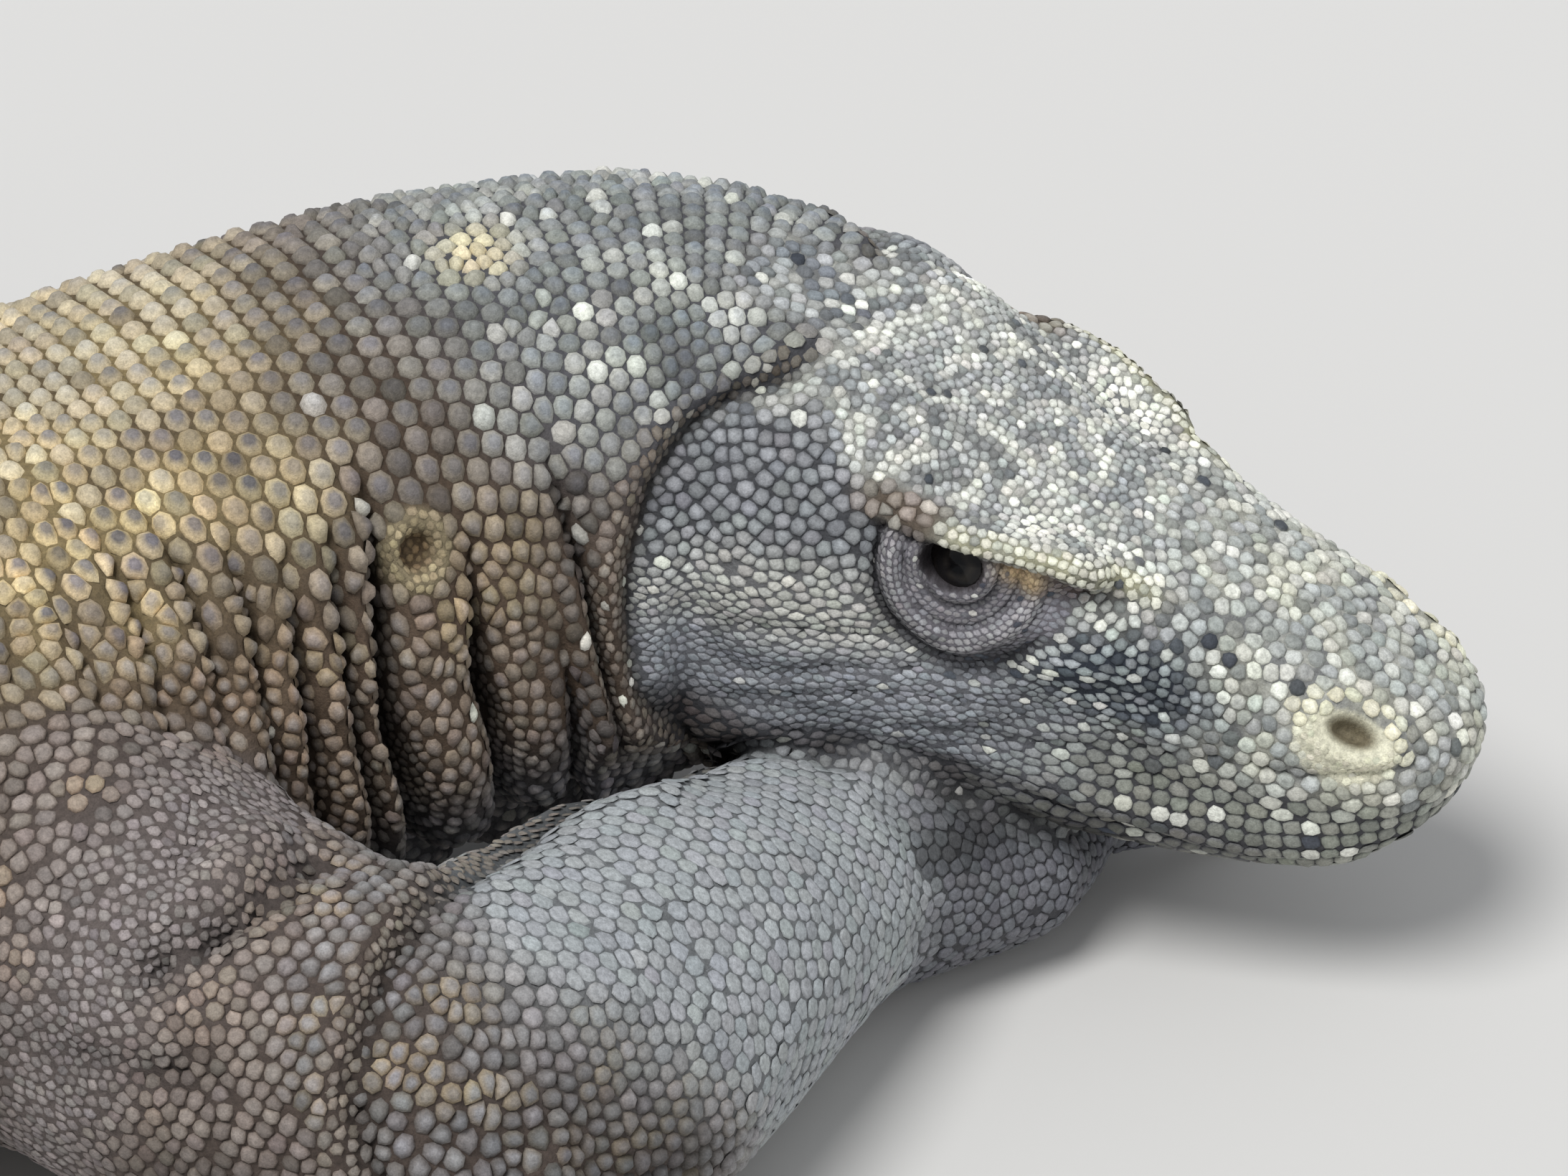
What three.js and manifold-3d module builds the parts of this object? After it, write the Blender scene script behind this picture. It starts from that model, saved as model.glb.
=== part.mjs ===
// A life-size Komodo dragon at rest: belly, tail and feet on the floor, head laid over its right forefoot.
// Millimetres, +X towards the head end of the trunk, +Y to the animal's left, +Z up. The origin is on the
// floor under the middle of the belly.
import * as THREE from "three";
import { mergeVertices } from "three/addons/utils/BufferGeometryUtils.js";
import Module from "manifold-3d";

const wasm = await Module();
wasm.setup();

// ---- Driving dimensions ----

const GAP = 0.3; // between neighbouring solids
const UP = new THREE.Vector3(0, 0, 1);

// Head: a straight axis that starts at the snout tip and runs back.
const SNOUT_TIP = new THREE.Vector3(598, -96, 61);
const HEAD_YAW = -40; // degrees from +X, negative to the animal's right
const HEAD_PITCH = -10; // nose down
const HEAD_LENGTH = 183; // snout tip to the back of the jaw muscles
const HEAD_SIDES = 22;

// Sections of the head, by distance behind the snout tip: half width, height of the crown above the
// axis, depth of the jaw below it, and how square the section is (2 is an ellipse).
const HEAD_SECTIONS = [
  { back: 0, wide: 3, up: 2, down: 7, square: 2.0 },
  { back: 2.5, wide: 13, up: 5, down: 15, square: 2.1 },
  { back: 8, wide: 22, up: 9.5, down: 23, square: 2.2 },
  { back: 18, wide: 28, up: 15, down: 31, square: 2.35 },
  { back: 34, wide: 32, up: 21.5, down: 38, square: 2.5 },
  { back: 60, wide: 35, up: 29, down: 43, square: 2.7 },
  { back: 88, wide: 39, up: 36, down: 45, square: 2.9 },
  { back: 115, wide: 45, up: 44, down: 46, square: 2.9 },
  { back: 140, wide: 53, up: 51, down: 46, square: 2.8 },
  { back: 160, wide: 57, up: 55, down: 46, square: 2.6 },
  { back: 178, wide: 56, up: 57, down: 46, square: 2.4 },
  { back: 200, wide: 48, up: 54, down: 42, square: 2.2 },
];
const HEAD_STEPS = 18;

// Raised forms of the head, each an ellipsoid on both sides: place behind the snout tip, out from the
// middle and above the axis, then half length, half width, half height, and turn about the vertical.
const HEAD_FORMS = {
  brow: { back: 111, out: 36.5, high: 32.5, size: [28, 7.5, 6], turn: 9 },
  nostril: { back: 23, out: 18.5, high: 3, size: [13, 10.5, 10], turn: 14 },
};

const EYE = { back: 113.5, out: 31.5, high: 26.5, radius: 10.5 };
const LID_OPENING = { back: 113.5, out: 44, high: 27, size: [9.5, 8, 5.5], turn: 0 };

const FORM_SIDES = 10;
const FORM_STEPS = 6;
const EYE_SIDES = 12;
const EYE_STEPS = 8;

// The closed mouth, as depth below the axis at distances behind the snout tip.
const MOUTH_LINE = [
  { back: -2, low: 17 },
  { back: 14, low: 24 },
  { back: 39, low: 30 },
  { back: 72, low: 29 },
  { back: 106, low: 24 },
  { back: 138, low: 20 },
];
const MOUTH_CORNER = 146;
const JAW_BLOCK = { ahead: 10, deep: 60, wide: 140 }; // reaches past the jaw on every side

// Spine, from inside the head to the tail tip: centre, half width, height above and depth below it.
const SPINE = [
  { at: [486, 0, 91], wide: 50, up: 50, down: 48 },
  { at: [456, 21, 94], wide: 61, up: 62, down: 60 },
  { at: [408, 28, 95], wide: 66, up: 63, down: 69 },
  { at: [352, 24, 91], wide: 74, up: 61, down: 73 },
  { at: [300, 16, 85], wide: 88, up: 61, down: 77 },
  { at: [246, 11, 82], wide: 106, up: 67, down: 82 },
  { at: [160, 9, 80], wide: 124, up: 79, down: 83 },
  { at: [0, 0, 84], wide: 144, up: 85, down: 88 },
  { at: [-130, -2, 82], wide: 139, up: 81, down: 85 },
  { at: [-230, -1, 74], wide: 113, up: 73, down: 77 },
  { at: [-300, 0, 68], wide: 93, up: 69, down: 71 },
  { at: [-370, 2, 60], wide: 75, up: 62, down: 63 },
  { at: [-480, 10, 50], wide: 54, up: 54, down: 53 },
  { at: [-650, 34, 40], wide: 38, up: 44, down: 42.5 },
  { at: [-850, 80, 30], wide: 27, up: 34, down: 32.5 },
  { at: [-1050, 108, 22], wide: 19, up: 26, down: 24 },
  { at: [-1240, 92, 15], wide: 13, up: 18, down: 17 },
  { at: [-1400, 42, 10], wide: 8.5, up: 12, down: 11.5 },
  { at: [-1520, -16, 7], wide: 5.5, up: 8, down: 8.3 },
  { at: [-1590, -54, 4.6], wide: 3.4, up: 4.6, down: 5.4 },
];
const SPINE_STEPS = 44;
const SPINE_REACH = 0.5;
const SPINE_SIDES = 16;
const SPINE_SQUARE = 2.3;

// Where the body is parted across its spine, named for the length in front of each cut.
const BODY_LENGTHS = [
  { name: "neck", ends: [292, 22, 87] },
  { name: "trunk_front", ends: [20, 1, 84] },
  { name: "trunk_rear", ends: [-345, 1, 63] },
  { name: "tail_base", ends: [-700, 45, 37] },
  { name: "tail_middle", ends: [-1130, 106, 19] },
];
const LAST_LENGTH = "tail_end";

// Legs: points from inside the trunk to the foot, each with its radius across and its half height.
const LIMB_STEPS = 12;
const LIMB_REACH = 2;
const LIMB_SIDES = 12;
const LEGS = {
  front_right: {
    path: [
      { at: [262, -40, 82], wide: 46, high: 50 },
      { at: [308, -96, 66], wide: 47, high: 50 },
      { at: [346, -128, 47], wide: 45, high: 52 },
      { at: [404, -93, 42], wide: 44, high: 43 },
      { at: [461, -51, 29], wide: 32, high: 31 },
      { at: [500, -40, 20], wide: 33, high: 22 },
      { at: [516, -26, 14], wide: 27, high: 14 },
    ],
    heading: 50,
  },
  front_left: {
    path: [
      { at: [262, 74, 84], wide: 46, high: 50 },
      { at: [228, 128, 70], wide: 46, high: 50 },
      { at: [186, 172, 46], wide: 44, high: 48 },
      { at: [204, 232, 40], wide: 40, high: 42 },
      { at: [230, 292, 26], wide: 30, high: 28 },
      { at: [258, 320, 18], wide: 32, high: 20 },
      { at: [274, 331, 13], wide: 24, high: 13 },
    ],
    heading: 26,
  },
  hind_right: {
    path: [
      { at: [-290, -44, 74], wide: 58, high: 58 },
      { at: [-246, -106, 72], wide: 56, high: 62 },
      { at: [-200, -164, 56], wide: 43, high: 58 },
      { at: [-236, -206, 42], wide: 37, high: 44 },
      { at: [-276, -242, 26], wide: 27, high: 28 },
      { at: [-258, -272, 17], wide: 28, high: 19 },
      { at: [-242, -290, 13], wide: 23, high: 13 },
    ],
    heading: -42,
  },
  hind_left: {
    path: [
      { at: [-290, 44, 74], wide: 58, high: 58 },
      { at: [-240, 104, 72], wide: 56, high: 62 },
      { at: [-187, 159, 56], wide: 43, high: 58 },
      { at: [-218, 206, 42], wide: 37, high: 44 },
      { at: [-254, 247, 26], wide: 27, high: 28 },
      { at: [-230, 272, 17], wide: 29, high: 19 },
      { at: [-211, 286, 13], wide: 23, high: 13 },
    ],
    heading: 38,
  },
};
const JOINTS = { knee: 2, ankle: 4 }; // which path points part the upper leg, lower leg and foot

// Toes, from the innermost: turn from the foot's heading, length past the knuckle and radius there.
const TOES = [
  { turn: 44, length: 34, radius: 9.5 },
  { turn: 22, length: 48, radius: 10 },
  { turn: 3, length: 56, radius: 10 },
  { turn: -16, length: 52, radius: 9.5 },
  { turn: -44, length: 36, radius: 9 },
];
const HIND_TOE_SCALE = 1.15;
const KNUCKLE = { out: 20, inside: 6, high: 12 };
// A toe's curve as shares of its length, its height at the tip as a share of its radius, how far it
// arches above the knuckle and dips before the tip, and its thickness at both ends.
const TOE_FORM = { arch: 0.4, dip: 0.78, low: 0.78, raised: 8, lift: 1, thick: 1.05, thin: 0.72 };
const TOE_SIDES = 6;
const TOE_STEPS = 3;
const CLAW = { length: 25, radius: 4.6, tip: 0.8, droop: 6.5, bend: 0.6, clear: 0.45 };
const CLAW_SIDES = 5;
const CLAW_STEPS = 3;
const TAPER_REACH = 0.1;

// ---- Solids from rings of points ----

// A closed geometry through rings of equal length, with a fan over each end.
function throughRings(rings) {
  const sides = rings[0].length;
  const points = rings.flat();
  const index = [];
  for (let r = 0; r + 1 < rings.length; r++) {
    for (let i = 0; i < sides; i++) {
      const a = r * sides + i;
      const b = r * sides + ((i + 1) % sides);
      index.push(a, b, b + sides, a, b + sides, a + sides);
    }
  }
  const middle = (ring) =>
    ring.reduce((sum, p) => sum.add(p), new THREE.Vector3()).divideScalar(sides);
  const first = points.push(middle(rings[0])) - 1;
  const last = points.push(middle(rings.at(-1))) - 1;
  const lastRing = (rings.length - 1) * sides;
  for (let i = 0; i < sides; i++) {
    const j = (i + 1) % sides;
    index.push(first, j, i, last, lastRing + i, lastRing + j);
  }
  const geometry = new THREE.BufferGeometry().setFromPoints(points);
  geometry.setIndex(index);
  return geometry;
}

function solid(geometry) {
  const bare = geometry.clone();
  bare.deleteAttribute("normal");
  bare.deleteAttribute("uv");
  const merged = mergeVertices(bare, 1e-3);
  return new wasm.Manifold(
    new wasm.Mesh({
      numProp: 3,
      vertProperties: merged.attributes.position.array,
      triVerts: new Uint32Array(merged.index.array),
    }),
  );
}

// A closed superellipse ring around a centre: across and above are unit vectors.
function ring(centre, across, above, size, sides) {
  const power = 2 / size.square;
  const rounded = (value) => Math.sign(value) * Math.abs(value) ** power;
  return Array.from({ length: sides }, (_, i) => {
    const turn = (2 * Math.PI * (i + 0.5)) / sides;
    const high = Math.sin(turn) > 0 ? size.up : size.down;
    return centre
      .clone()
      .addScaledVector(across, size.wide * rounded(Math.cos(turn)))
      .addScaledVector(above, high * rounded(Math.sin(turn)));
  });
}

// A value that runs smoothly through those of the rows, at a place counted in rows.
function smoothly(rows, key, place) {
  const i = Math.min(Math.floor(place), rows.length - 2);
  const row = (n) => rows[THREE.MathUtils.clamp(n, 0, rows.length - 1)][key];
  const part = place - i;
  const slopeHere = (row(i + 1) - row(i - 1)) / 2;
  const slopeNext = (row(i + 2) - row(i)) / 2;
  const a = 2 * (row(i) - row(i + 1)) + slopeHere + slopeNext;
  const b = row(i + 1) - row(i) - slopeHere - a;
  return row(i) + part * (slopeHere + part * (b + part * a));
}

// A loft along a curve. Each section stands across the line between the points that lie reach steps
// before and after it, so that a wider reach spreads a sharp bend over more sections.
function alongCurve(curve, steps, sides, reach, sizeAt) {
  const rings = [];
  for (let step = 0; step <= steps; step++) {
    const t = step / steps;
    const before = curve.getPoint(Math.max(0, t - reach / steps));
    const after = curve.getPoint(Math.min(1, t + reach / steps));
    const along = after.sub(before).normalize();
    const across = new THREE.Vector3().crossVectors(UP, along).normalize();
    const above = new THREE.Vector3().crossVectors(along, across);
    rings.push(ring(curve.getPoint(t), across, above, sizeAt(t), sides));
  }
  return solid(throughRings(rings));
}

const curveThrough = (rows) =>
  new THREE.CatmullRomCurve3(rows.map((row) => new THREE.Vector3(...row.at)));

// ---- Head ----

const degrees = THREE.MathUtils.degToRad;
const FORWARD = new THREE.Vector3(
  Math.cos(degrees(HEAD_PITCH)) * Math.cos(degrees(HEAD_YAW)),
  Math.cos(degrees(HEAD_PITCH)) * Math.sin(degrees(HEAD_YAW)),
  Math.sin(degrees(HEAD_PITCH)),
);
const LEFT = new THREE.Vector3().crossVectors(UP, FORWARD).normalize();
const CROWN = new THREE.Vector3().crossVectors(FORWARD, LEFT);
const HEAD_FRAME = new THREE.Matrix4()
  .makeBasis(FORWARD, LEFT, CROWN)
  .setPosition(SNOUT_TIP);

function headLoft(grown) {
  const rings = [];
  for (let step = 0; step <= HEAD_STEPS; step++) {
    const place = (step / HEAD_STEPS) * (HEAD_SECTIONS.length - 1);
    const value = (key) => smoothly(HEAD_SECTIONS, key, place);
    const size = {
      wide: value("wide") + grown,
      up: value("up") + grown,
      down: value("down") + grown,
      square: value("square"),
    };
    const centre = new THREE.Vector3(-value("back"), 0, 0);
    const across = new THREE.Vector3(0, -1, 0);
    rings.push(ring(centre, across, UP, size, HEAD_SIDES));
  }
  return solid(throughRings(rings).applyMatrix4(HEAD_FRAME));
}

// An ellipsoid of the head. side is 1 on the left and -1 on the right.
function headForm(form, side, grown) {
  const [long, wide, high] = form.size;
  const geometry = new THREE.SphereGeometry(1, FORM_SIDES, FORM_STEPS)
    .scale(long + grown, wide + grown, high + grown)
    .rotateZ(degrees(-form.turn * side))
    .translate(-form.back, form.out * side, form.high)
    .applyMatrix4(HEAD_FRAME);
  return solid(geometry);
}

function headSolid(grown) {
  let whole = headLoft(grown);
  for (const form of Object.values(HEAD_FORMS)) {
    for (const side of [-1, 1]) {
      whole = whole.add(headForm(form, side, grown));
    }
  }
  return whole;
}

function eyeball(side, grown) {
  const geometry = new THREE.SphereGeometry(EYE.radius + grown, EYE_SIDES, EYE_STEPS)
    .translate(-EYE.back, EYE.out * side, EYE.high)
    .applyMatrix4(HEAD_FRAME);
  return solid(geometry);
}

// All that lies under the mouth line and in front of the corner of the mouth, moved up by a shift.
function belowMouth(shift) {
  const outline = new THREE.Shape();
  const { ahead, deep, wide } = JAW_BLOCK;
  const corner = -MOUTH_CORNER - shift;
  outline.moveTo(ahead, -deep);
  outline.lineTo(ahead, shift - MOUTH_LINE[0].low);
  for (const point of MOUTH_LINE) {
    outline.lineTo(-point.back, shift - point.low);
  }
  outline.lineTo(corner, shift - MOUTH_LINE.at(-1).low);
  outline.lineTo(corner, -deep);
  const geometry = new THREE.ExtrudeGeometry(outline, { depth: wide, bevelEnabled: false })
    .rotateX(Math.PI / 2)
    .translate(0, wide / 2, 0)
    .applyMatrix4(HEAD_FRAME);
  return solid(geometry);
}

// ---- Body ----

function spineLoft(grown) {
  const sizeAt = (t) => {
    const value = (key) => smoothly(SPINE, key, t * (SPINE.length - 1)) + grown;
    return { wide: value("wide"), up: value("up"), down: value("down"), square: SPINE_SQUARE };
  };
  return alongCurve(curveThrough(SPINE), SPINE_STEPS, SPINE_SIDES, SPINE_REACH, sizeAt);
}

// The solid on each side of a plane, with half the gap taken from both.
function parted(whole, point, normal) {
  const n = normal.clone().normalize();
  const offset = n.dot(point);
  const ahead = whole.trimByPlane(n.toArray(), offset + GAP / 2);
  const behind = whole.trimByPlane(n.clone().negate().toArray(), GAP / 2 - offset);
  return [ahead, behind];
}

function directionOfSpineAt(x) {
  const curve = curveThrough(SPINE);
  const fine = 0.002;
  let t = 0;
  while (curve.getPoint(t).x > x) {
    t += fine;
  }
  return curve.getTangent(t).negate();
}

// ---- Legs ----

function legLoft(path) {
  const sizeAt = (t) => {
    const value = (key) => smoothly(path, key, t * (path.length - 1));
    return { wide: value("wide"), up: value("high"), down: value("high"), square: 2 };
  };
  return alongCurve(curveThrough(path), LIMB_STEPS, LIMB_SIDES, LIMB_REACH, sizeAt);
}

// A round rod along a curve, from the radius at its start to that at its end.
function taper(curve, startRadius, endRadius, steps, sides) {
  const sizeAt = (t) => {
    const radius = startRadius + (endRadius - startRadius) * t;
    return { wide: radius, up: radius, down: radius, square: 2 };
  };
  return alongCurve(curve, steps, sides, TAPER_REACH, sizeAt);
}

// Each toe's curve and radius, and the curve of the claw that carries on from it.
function toesOf(leg, side, scale) {
  const palm = new THREE.Vector3(...leg.path.at(-2).at);
  return TOES.map((toe) => {
    const turn = degrees(leg.heading - toe.turn * side);
    const way = new THREE.Vector3(Math.cos(turn), Math.sin(turn), 0);
    const at = (out, high) => palm.clone().setZ(high).addScaledVector(way, out);
    const length = toe.length * scale;
    const radius = toe.radius * scale;
    const low = radius * TOE_FORM.low;
    const start = at(KNUCKLE.inside, KNUCKLE.high);
    const arch = at(KNUCKLE.out + length * TOE_FORM.arch, KNUCKLE.high + TOE_FORM.raised);
    const dip = at(KNUCKLE.out + length * TOE_FORM.dip, low + TOE_FORM.lift);
    const end = at(KNUCKLE.out + length, low);
    const curve = new THREE.CubicBezierCurve3(start, arch, dip, end);
    const on = curve.getTangent(1);
    const clawStart = end.clone().addScaledVector(on, CLAW.clear);
    const clawBend = clawStart.clone().addScaledVector(on, CLAW.length * CLAW.bend);
    const clawEnd = at(KNUCKLE.out + length + CLAW.length, low - CLAW.droop);
    return {
      solid: taper(curve, radius * TOE_FORM.thick, radius * TOE_FORM.thin, TOE_STEPS, TOE_SIDES),
      claw: new THREE.QuadraticBezierCurve3(clawStart, clawBend, clawEnd),
    };
  });
}

// ---- Assembly ----

const skin = { color: 0x6b675e, roughness: 0.85, metalness: 0 };
const headSkin = { color: 0x77777a, roughness: 0.8, metalness: 0 };
const eyeFinish = { color: 0x1c1712, roughness: 0.15, metalness: 0 };
const clawFinish = { color: 0x2c2824, roughness: 0.45, metalness: 0 };

const dragon = new THREE.Group();

// Adds the largest body of a solid, cut off level with the floor, as a named mesh.
function place(name, shape, finish) {
  const bodies = shape.trimByPlane([0, 0, 1], 0).decompose();
  const largest = bodies.reduce((a, b) => (a.volume() > b.volume() ? a : b));
  const mesh = largest.getMesh();
  const geometry = new THREE.BufferGeometry();
  const position = new THREE.BufferAttribute(new Float32Array(mesh.vertProperties), 3);
  geometry.setAttribute("position", position);
  geometry.setIndex(new THREE.BufferAttribute(new Uint32Array(mesh.triVerts), 1));
  const part = new THREE.Mesh(geometry, new THREE.MeshStandardMaterial(finish));
  part.name = name;
  dragon.add(part);
}

function buildHeadAndBody() {
  const whole = headSolid(0).add(spineLoft(0));
  const nape = new THREE.Vector3(-HEAD_LENGTH, 0, 0).applyMatrix4(HEAD_FRAME);
  let [head, rest] = parted(whole, nape, FORWARD);
  for (const side of [-1, 1]) {
    head = head.subtract(eyeball(side, GAP)).subtract(headForm(LID_OPENING, side, 0));
  }
  place("head", head.subtract(belowMouth(GAP / 2)), headSkin);
  place("lower_jaw", head.intersect(belowMouth(-GAP / 2)), headSkin);
  place("eye_right", eyeball(-1, 0), eyeFinish);
  place("eye_left", eyeball(1, 0), eyeFinish);
  for (const { name, ends } of BODY_LENGTHS) {
    const [ahead, behind] = parted(rest, new THREE.Vector3(...ends), directionOfSpineAt(ends[0]));
    place(name, ahead, skin);
    rest = behind;
  }
  place(LAST_LENGTH, rest, skin);
}

function buildLeg(name, leg, body) {
  const side = name.endsWith("left") ? 1 : -1;
  const scale = name.startsWith("hind") ? HIND_TOE_SCALE : 1;
  const points = leg.path.map((point) => new THREE.Vector3(...point.at));
  const toes = toesOf(leg, side, scale);
  const limb = legLoft(leg.path).subtract(body);
  const cutAt = (shape, index) => {
    const before = points[index].clone().sub(points[index - 1]).normalize();
    const after = points[index + 1].clone().sub(points[index]).normalize();
    return parted(shape, points[index], before.add(after));
  };
  const [beyondKnee, upper] = cutAt(limb, JOINTS.knee);
  const [palm, lower] = cutAt(beyondKnee, JOINTS.ankle);
  let foot = palm;
  for (const toe of toes) {
    foot = foot.add(toe.solid);
  }
  place(name + "_upper", upper, skin);
  place(name + "_lower", lower, skin);
  place(name + "_foot", foot.subtract(body), skin);
  toes.forEach((toe, i) => {
    const claw = taper(toe.claw, scale * CLAW.radius, scale * CLAW.tip, CLAW_STEPS, CLAW_SIDES);
    place(name + "_claw_" + (i + 1), claw, clawFinish);
  });
}

buildHeadAndBody();
const grownBody = headSolid(GAP).add(spineLoft(GAP));
for (const [name, leg] of Object.entries(LEGS)) {
  buildLeg(name, leg, grownBody);
}

export default dragon;
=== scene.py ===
"""A still Komodo dragon resting its chin on its right forefoot: one skin, solid scales, eyes and claws
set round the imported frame. Lengths in the constants are millimetres, angles are degrees."""
import math

import bmesh
import bpy
import numpy as np
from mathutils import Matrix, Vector
from mathutils.bvhtree import BVHTree
from mathutils.kdtree import KDTree


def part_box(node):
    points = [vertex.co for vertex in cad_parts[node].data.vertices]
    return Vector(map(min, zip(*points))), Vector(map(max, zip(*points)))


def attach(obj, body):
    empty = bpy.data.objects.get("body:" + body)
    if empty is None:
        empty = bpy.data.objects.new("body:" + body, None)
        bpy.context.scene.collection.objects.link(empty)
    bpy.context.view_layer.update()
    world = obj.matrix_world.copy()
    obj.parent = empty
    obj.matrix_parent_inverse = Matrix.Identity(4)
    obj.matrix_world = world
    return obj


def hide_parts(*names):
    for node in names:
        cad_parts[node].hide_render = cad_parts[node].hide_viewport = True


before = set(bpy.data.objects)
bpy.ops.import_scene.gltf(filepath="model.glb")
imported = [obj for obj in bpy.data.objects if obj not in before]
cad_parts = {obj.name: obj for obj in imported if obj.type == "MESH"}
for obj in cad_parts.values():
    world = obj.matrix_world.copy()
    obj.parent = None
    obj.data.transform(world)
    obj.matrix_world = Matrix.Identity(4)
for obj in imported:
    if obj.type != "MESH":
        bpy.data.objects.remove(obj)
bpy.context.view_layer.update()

MM = 0.001

LEGS = ("front_right", "front_left", "hind_right", "hind_left")
SPINE_NODES = ("neck", "trunk_front", "trunk_rear", "tail_base", "tail_middle", "tail_end")
HEAD_NODES = ("head", "lower_jaw")
LEG_NODES = tuple(f"{leg}_{part}" for leg in LEGS for part in ("upper", "lower", "foot"))
FLESH = HEAD_NODES + SPINE_NODES + LEG_NODES
CLAWS = [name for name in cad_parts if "claw" in name]

# ---- The lie of the body: lines through the CAD's spine and legs, in the frame's own axes ----

SPINE_PATH = (
    (486, 0, 91), (456, 21, 94), (408, 28, 95), (352, 24, 91), (300, 16, 85), (246, 11, 82), (160, 9, 80),
    (0, 0, 84), (-130, -2, 82), (-230, -1, 74), (-300, 0, 68), (-370, 2, 60), (-480, 10, 50), (-650, 34, 40),
    (-850, 80, 30), (-1050, 108, 22), (-1240, 92, 15), (-1400, 42, 10), (-1520, -16, 7), (-1590, -54, 4.6),
)
LEG_PATHS = {
    "front_right": ((262, -40, 82), (308, -96, 66), (346, -128, 47), (404, -93, 42), (461, -51, 29),
                    (500, -40, 20), (516, -26, 14)),
    "front_left": ((262, 74, 84), (228, 128, 70), (186, 172, 46), (204, 232, 40), (230, 292, 26),
                   (258, 320, 18), (274, 331, 13)),
    "hind_right": ((-290, -44, 74), (-246, -106, 72), (-200, -164, 56), (-236, -206, 42), (-276, -242, 26),
                   (-258, -272, 17), (-242, -290, 13)),
    "hind_left": ((-290, 44, 74), (-240, 104, 72), (-187, 159, 56), (-218, 206, 42), (-254, 247, 26),
                  (-230, 272, 17), (-211, 286, 13)),
}
SNOUT_TIP = np.array((598.0, -96.0, 61.0))
HEAD_YAW = -40.0
HEAD_PITCH = -10.0
SIDES = (1, -1)  # the animal's right and left


def unit(vectors):
    return vectors / np.maximum(np.linalg.norm(vectors, axis=-1, keepdims=True), 1e-9)


def turned(yaw, pitch):
    yaw, pitch = math.radians(yaw), math.radians(pitch)
    return np.array((math.cos(yaw) * math.cos(pitch), math.sin(yaw) * math.cos(pitch), math.sin(pitch)))


HEAD_AHEAD = turned(HEAD_YAW, HEAD_PITCH)
HEAD_LEFT = turned(HEAD_YAW + 90, 0)
HEAD_CROWN = np.cross(HEAD_AHEAD, HEAD_LEFT)


class Axis:
    """A smooth line through the middle of a length of the body."""

    def __init__(self, path, steps=20):
        rows = np.array(path, float)
        rows = np.concatenate([[2 * rows[0] - rows[1]], rows, [2 * rows[-1] - rows[-2]]])
        t = (np.arange(steps) / steps)[:, None]
        spans = []
        for a, b, c, d in zip(rows, rows[1:], rows[2:], rows[3:]):
            bend = 2 * a - 5 * b + 4 * c - d + t * (3 * b - a - 3 * c + d)
            spans.append(b + 0.5 * t * (c - a + t * bend))
        self.points = np.concatenate(spans + [rows[-2:-1]])
        self.ahead = unit(np.gradient(self.points, axis=0))
        self.right = unit(np.cross((0, 0, 1), self.ahead))
        self.up = np.cross(self.ahead, self.right)
        self.at = np.concatenate([[0], np.cumsum(np.linalg.norm(np.diff(self.points, axis=0), axis=1))])

    def nearest(self, points):
        index = np.empty(len(points), np.int64)
        for start in range(0, len(points), 8000):
            part = points[start:start + 8000]
            gap = (self.points ** 2).sum(1)[None] - 2 * part @ self.points.T
            index[start:start + 8000] = gap.argmin(1)
        return index

    def coordinates(self, points):
        """Distance along the axis, angle round it from the top to the right, distance from it, its way."""
        i = self.nearest(points)
        off = points - self.points[i]
        right = (off * self.right[i]).sum(1)
        up = (off * self.up[i]).sum(1)
        along = self.at[i] + (off * self.ahead[i]).sum(1)
        return along, np.degrees(np.arctan2(right, up)), np.hypot(right, up), self.ahead[i]


def head_coordinates(points):
    """Behind the snout's tip, out to the right of the middle plane, above the axis."""
    off = points - SNOUT_TIP
    return -off @ HEAD_AHEAD, -off @ HEAD_LEFT, off @ HEAD_CROWN


# ---- Small tools on triangle meshes held as arrays, in millimetres ----

def mesh_arrays(mesh):
    """The points and triangles of a Blender mesh."""
    points = np.empty(len(mesh.vertices) * 3)
    mesh.vertices.foreach_get("co", points)
    mesh.calc_loop_triangles()
    faces = np.empty(len(mesh.loop_triangles) * 3, np.int32)
    mesh.loop_triangles.foreach_get("vertices", faces)
    return points.reshape(-1, 3) / MM, faces.reshape(-1, 3)


def new_mesh(name, points, faces):
    """A Blender mesh of faces that all have as many sides."""
    mesh = bpy.data.meshes.new(name)
    mesh.vertices.add(len(points))
    mesh.vertices.foreach_set("co", np.ascontiguousarray(points * MM, np.float32).ravel())
    sides = faces.shape[1]
    mesh.loops.add(len(faces) * sides)
    mesh.loops.foreach_set("vertex_index", np.ascontiguousarray(faces, np.int32).ravel())
    mesh.polygons.add(len(faces))
    mesh.polygons.foreach_set("loop_start", np.arange(len(faces), dtype=np.int32) * sides)
    mesh.update(calc_edges=True)
    mesh.shade_smooth()
    return mesh


def new_object(name, mesh):
    made = bpy.data.objects.new(name, mesh)
    bpy.context.scene.collection.objects.link(made)
    return made


def welded(points, faces):
    """The mesh with points at one place made one, and without the faces that this flattens."""
    keys = np.round(points / 0.01).astype(np.int64)
    _, first, inverse = np.unique(keys, axis=0, return_index=True, return_inverse=True)
    faces = inverse.reshape(-1)[faces]
    whole = (faces[:, 0] != faces[:, 1]) & (faces[:, 1] != faces[:, 2]) & (faces[:, 0] != faces[:, 2])
    return points[first], faces[whole]


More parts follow.
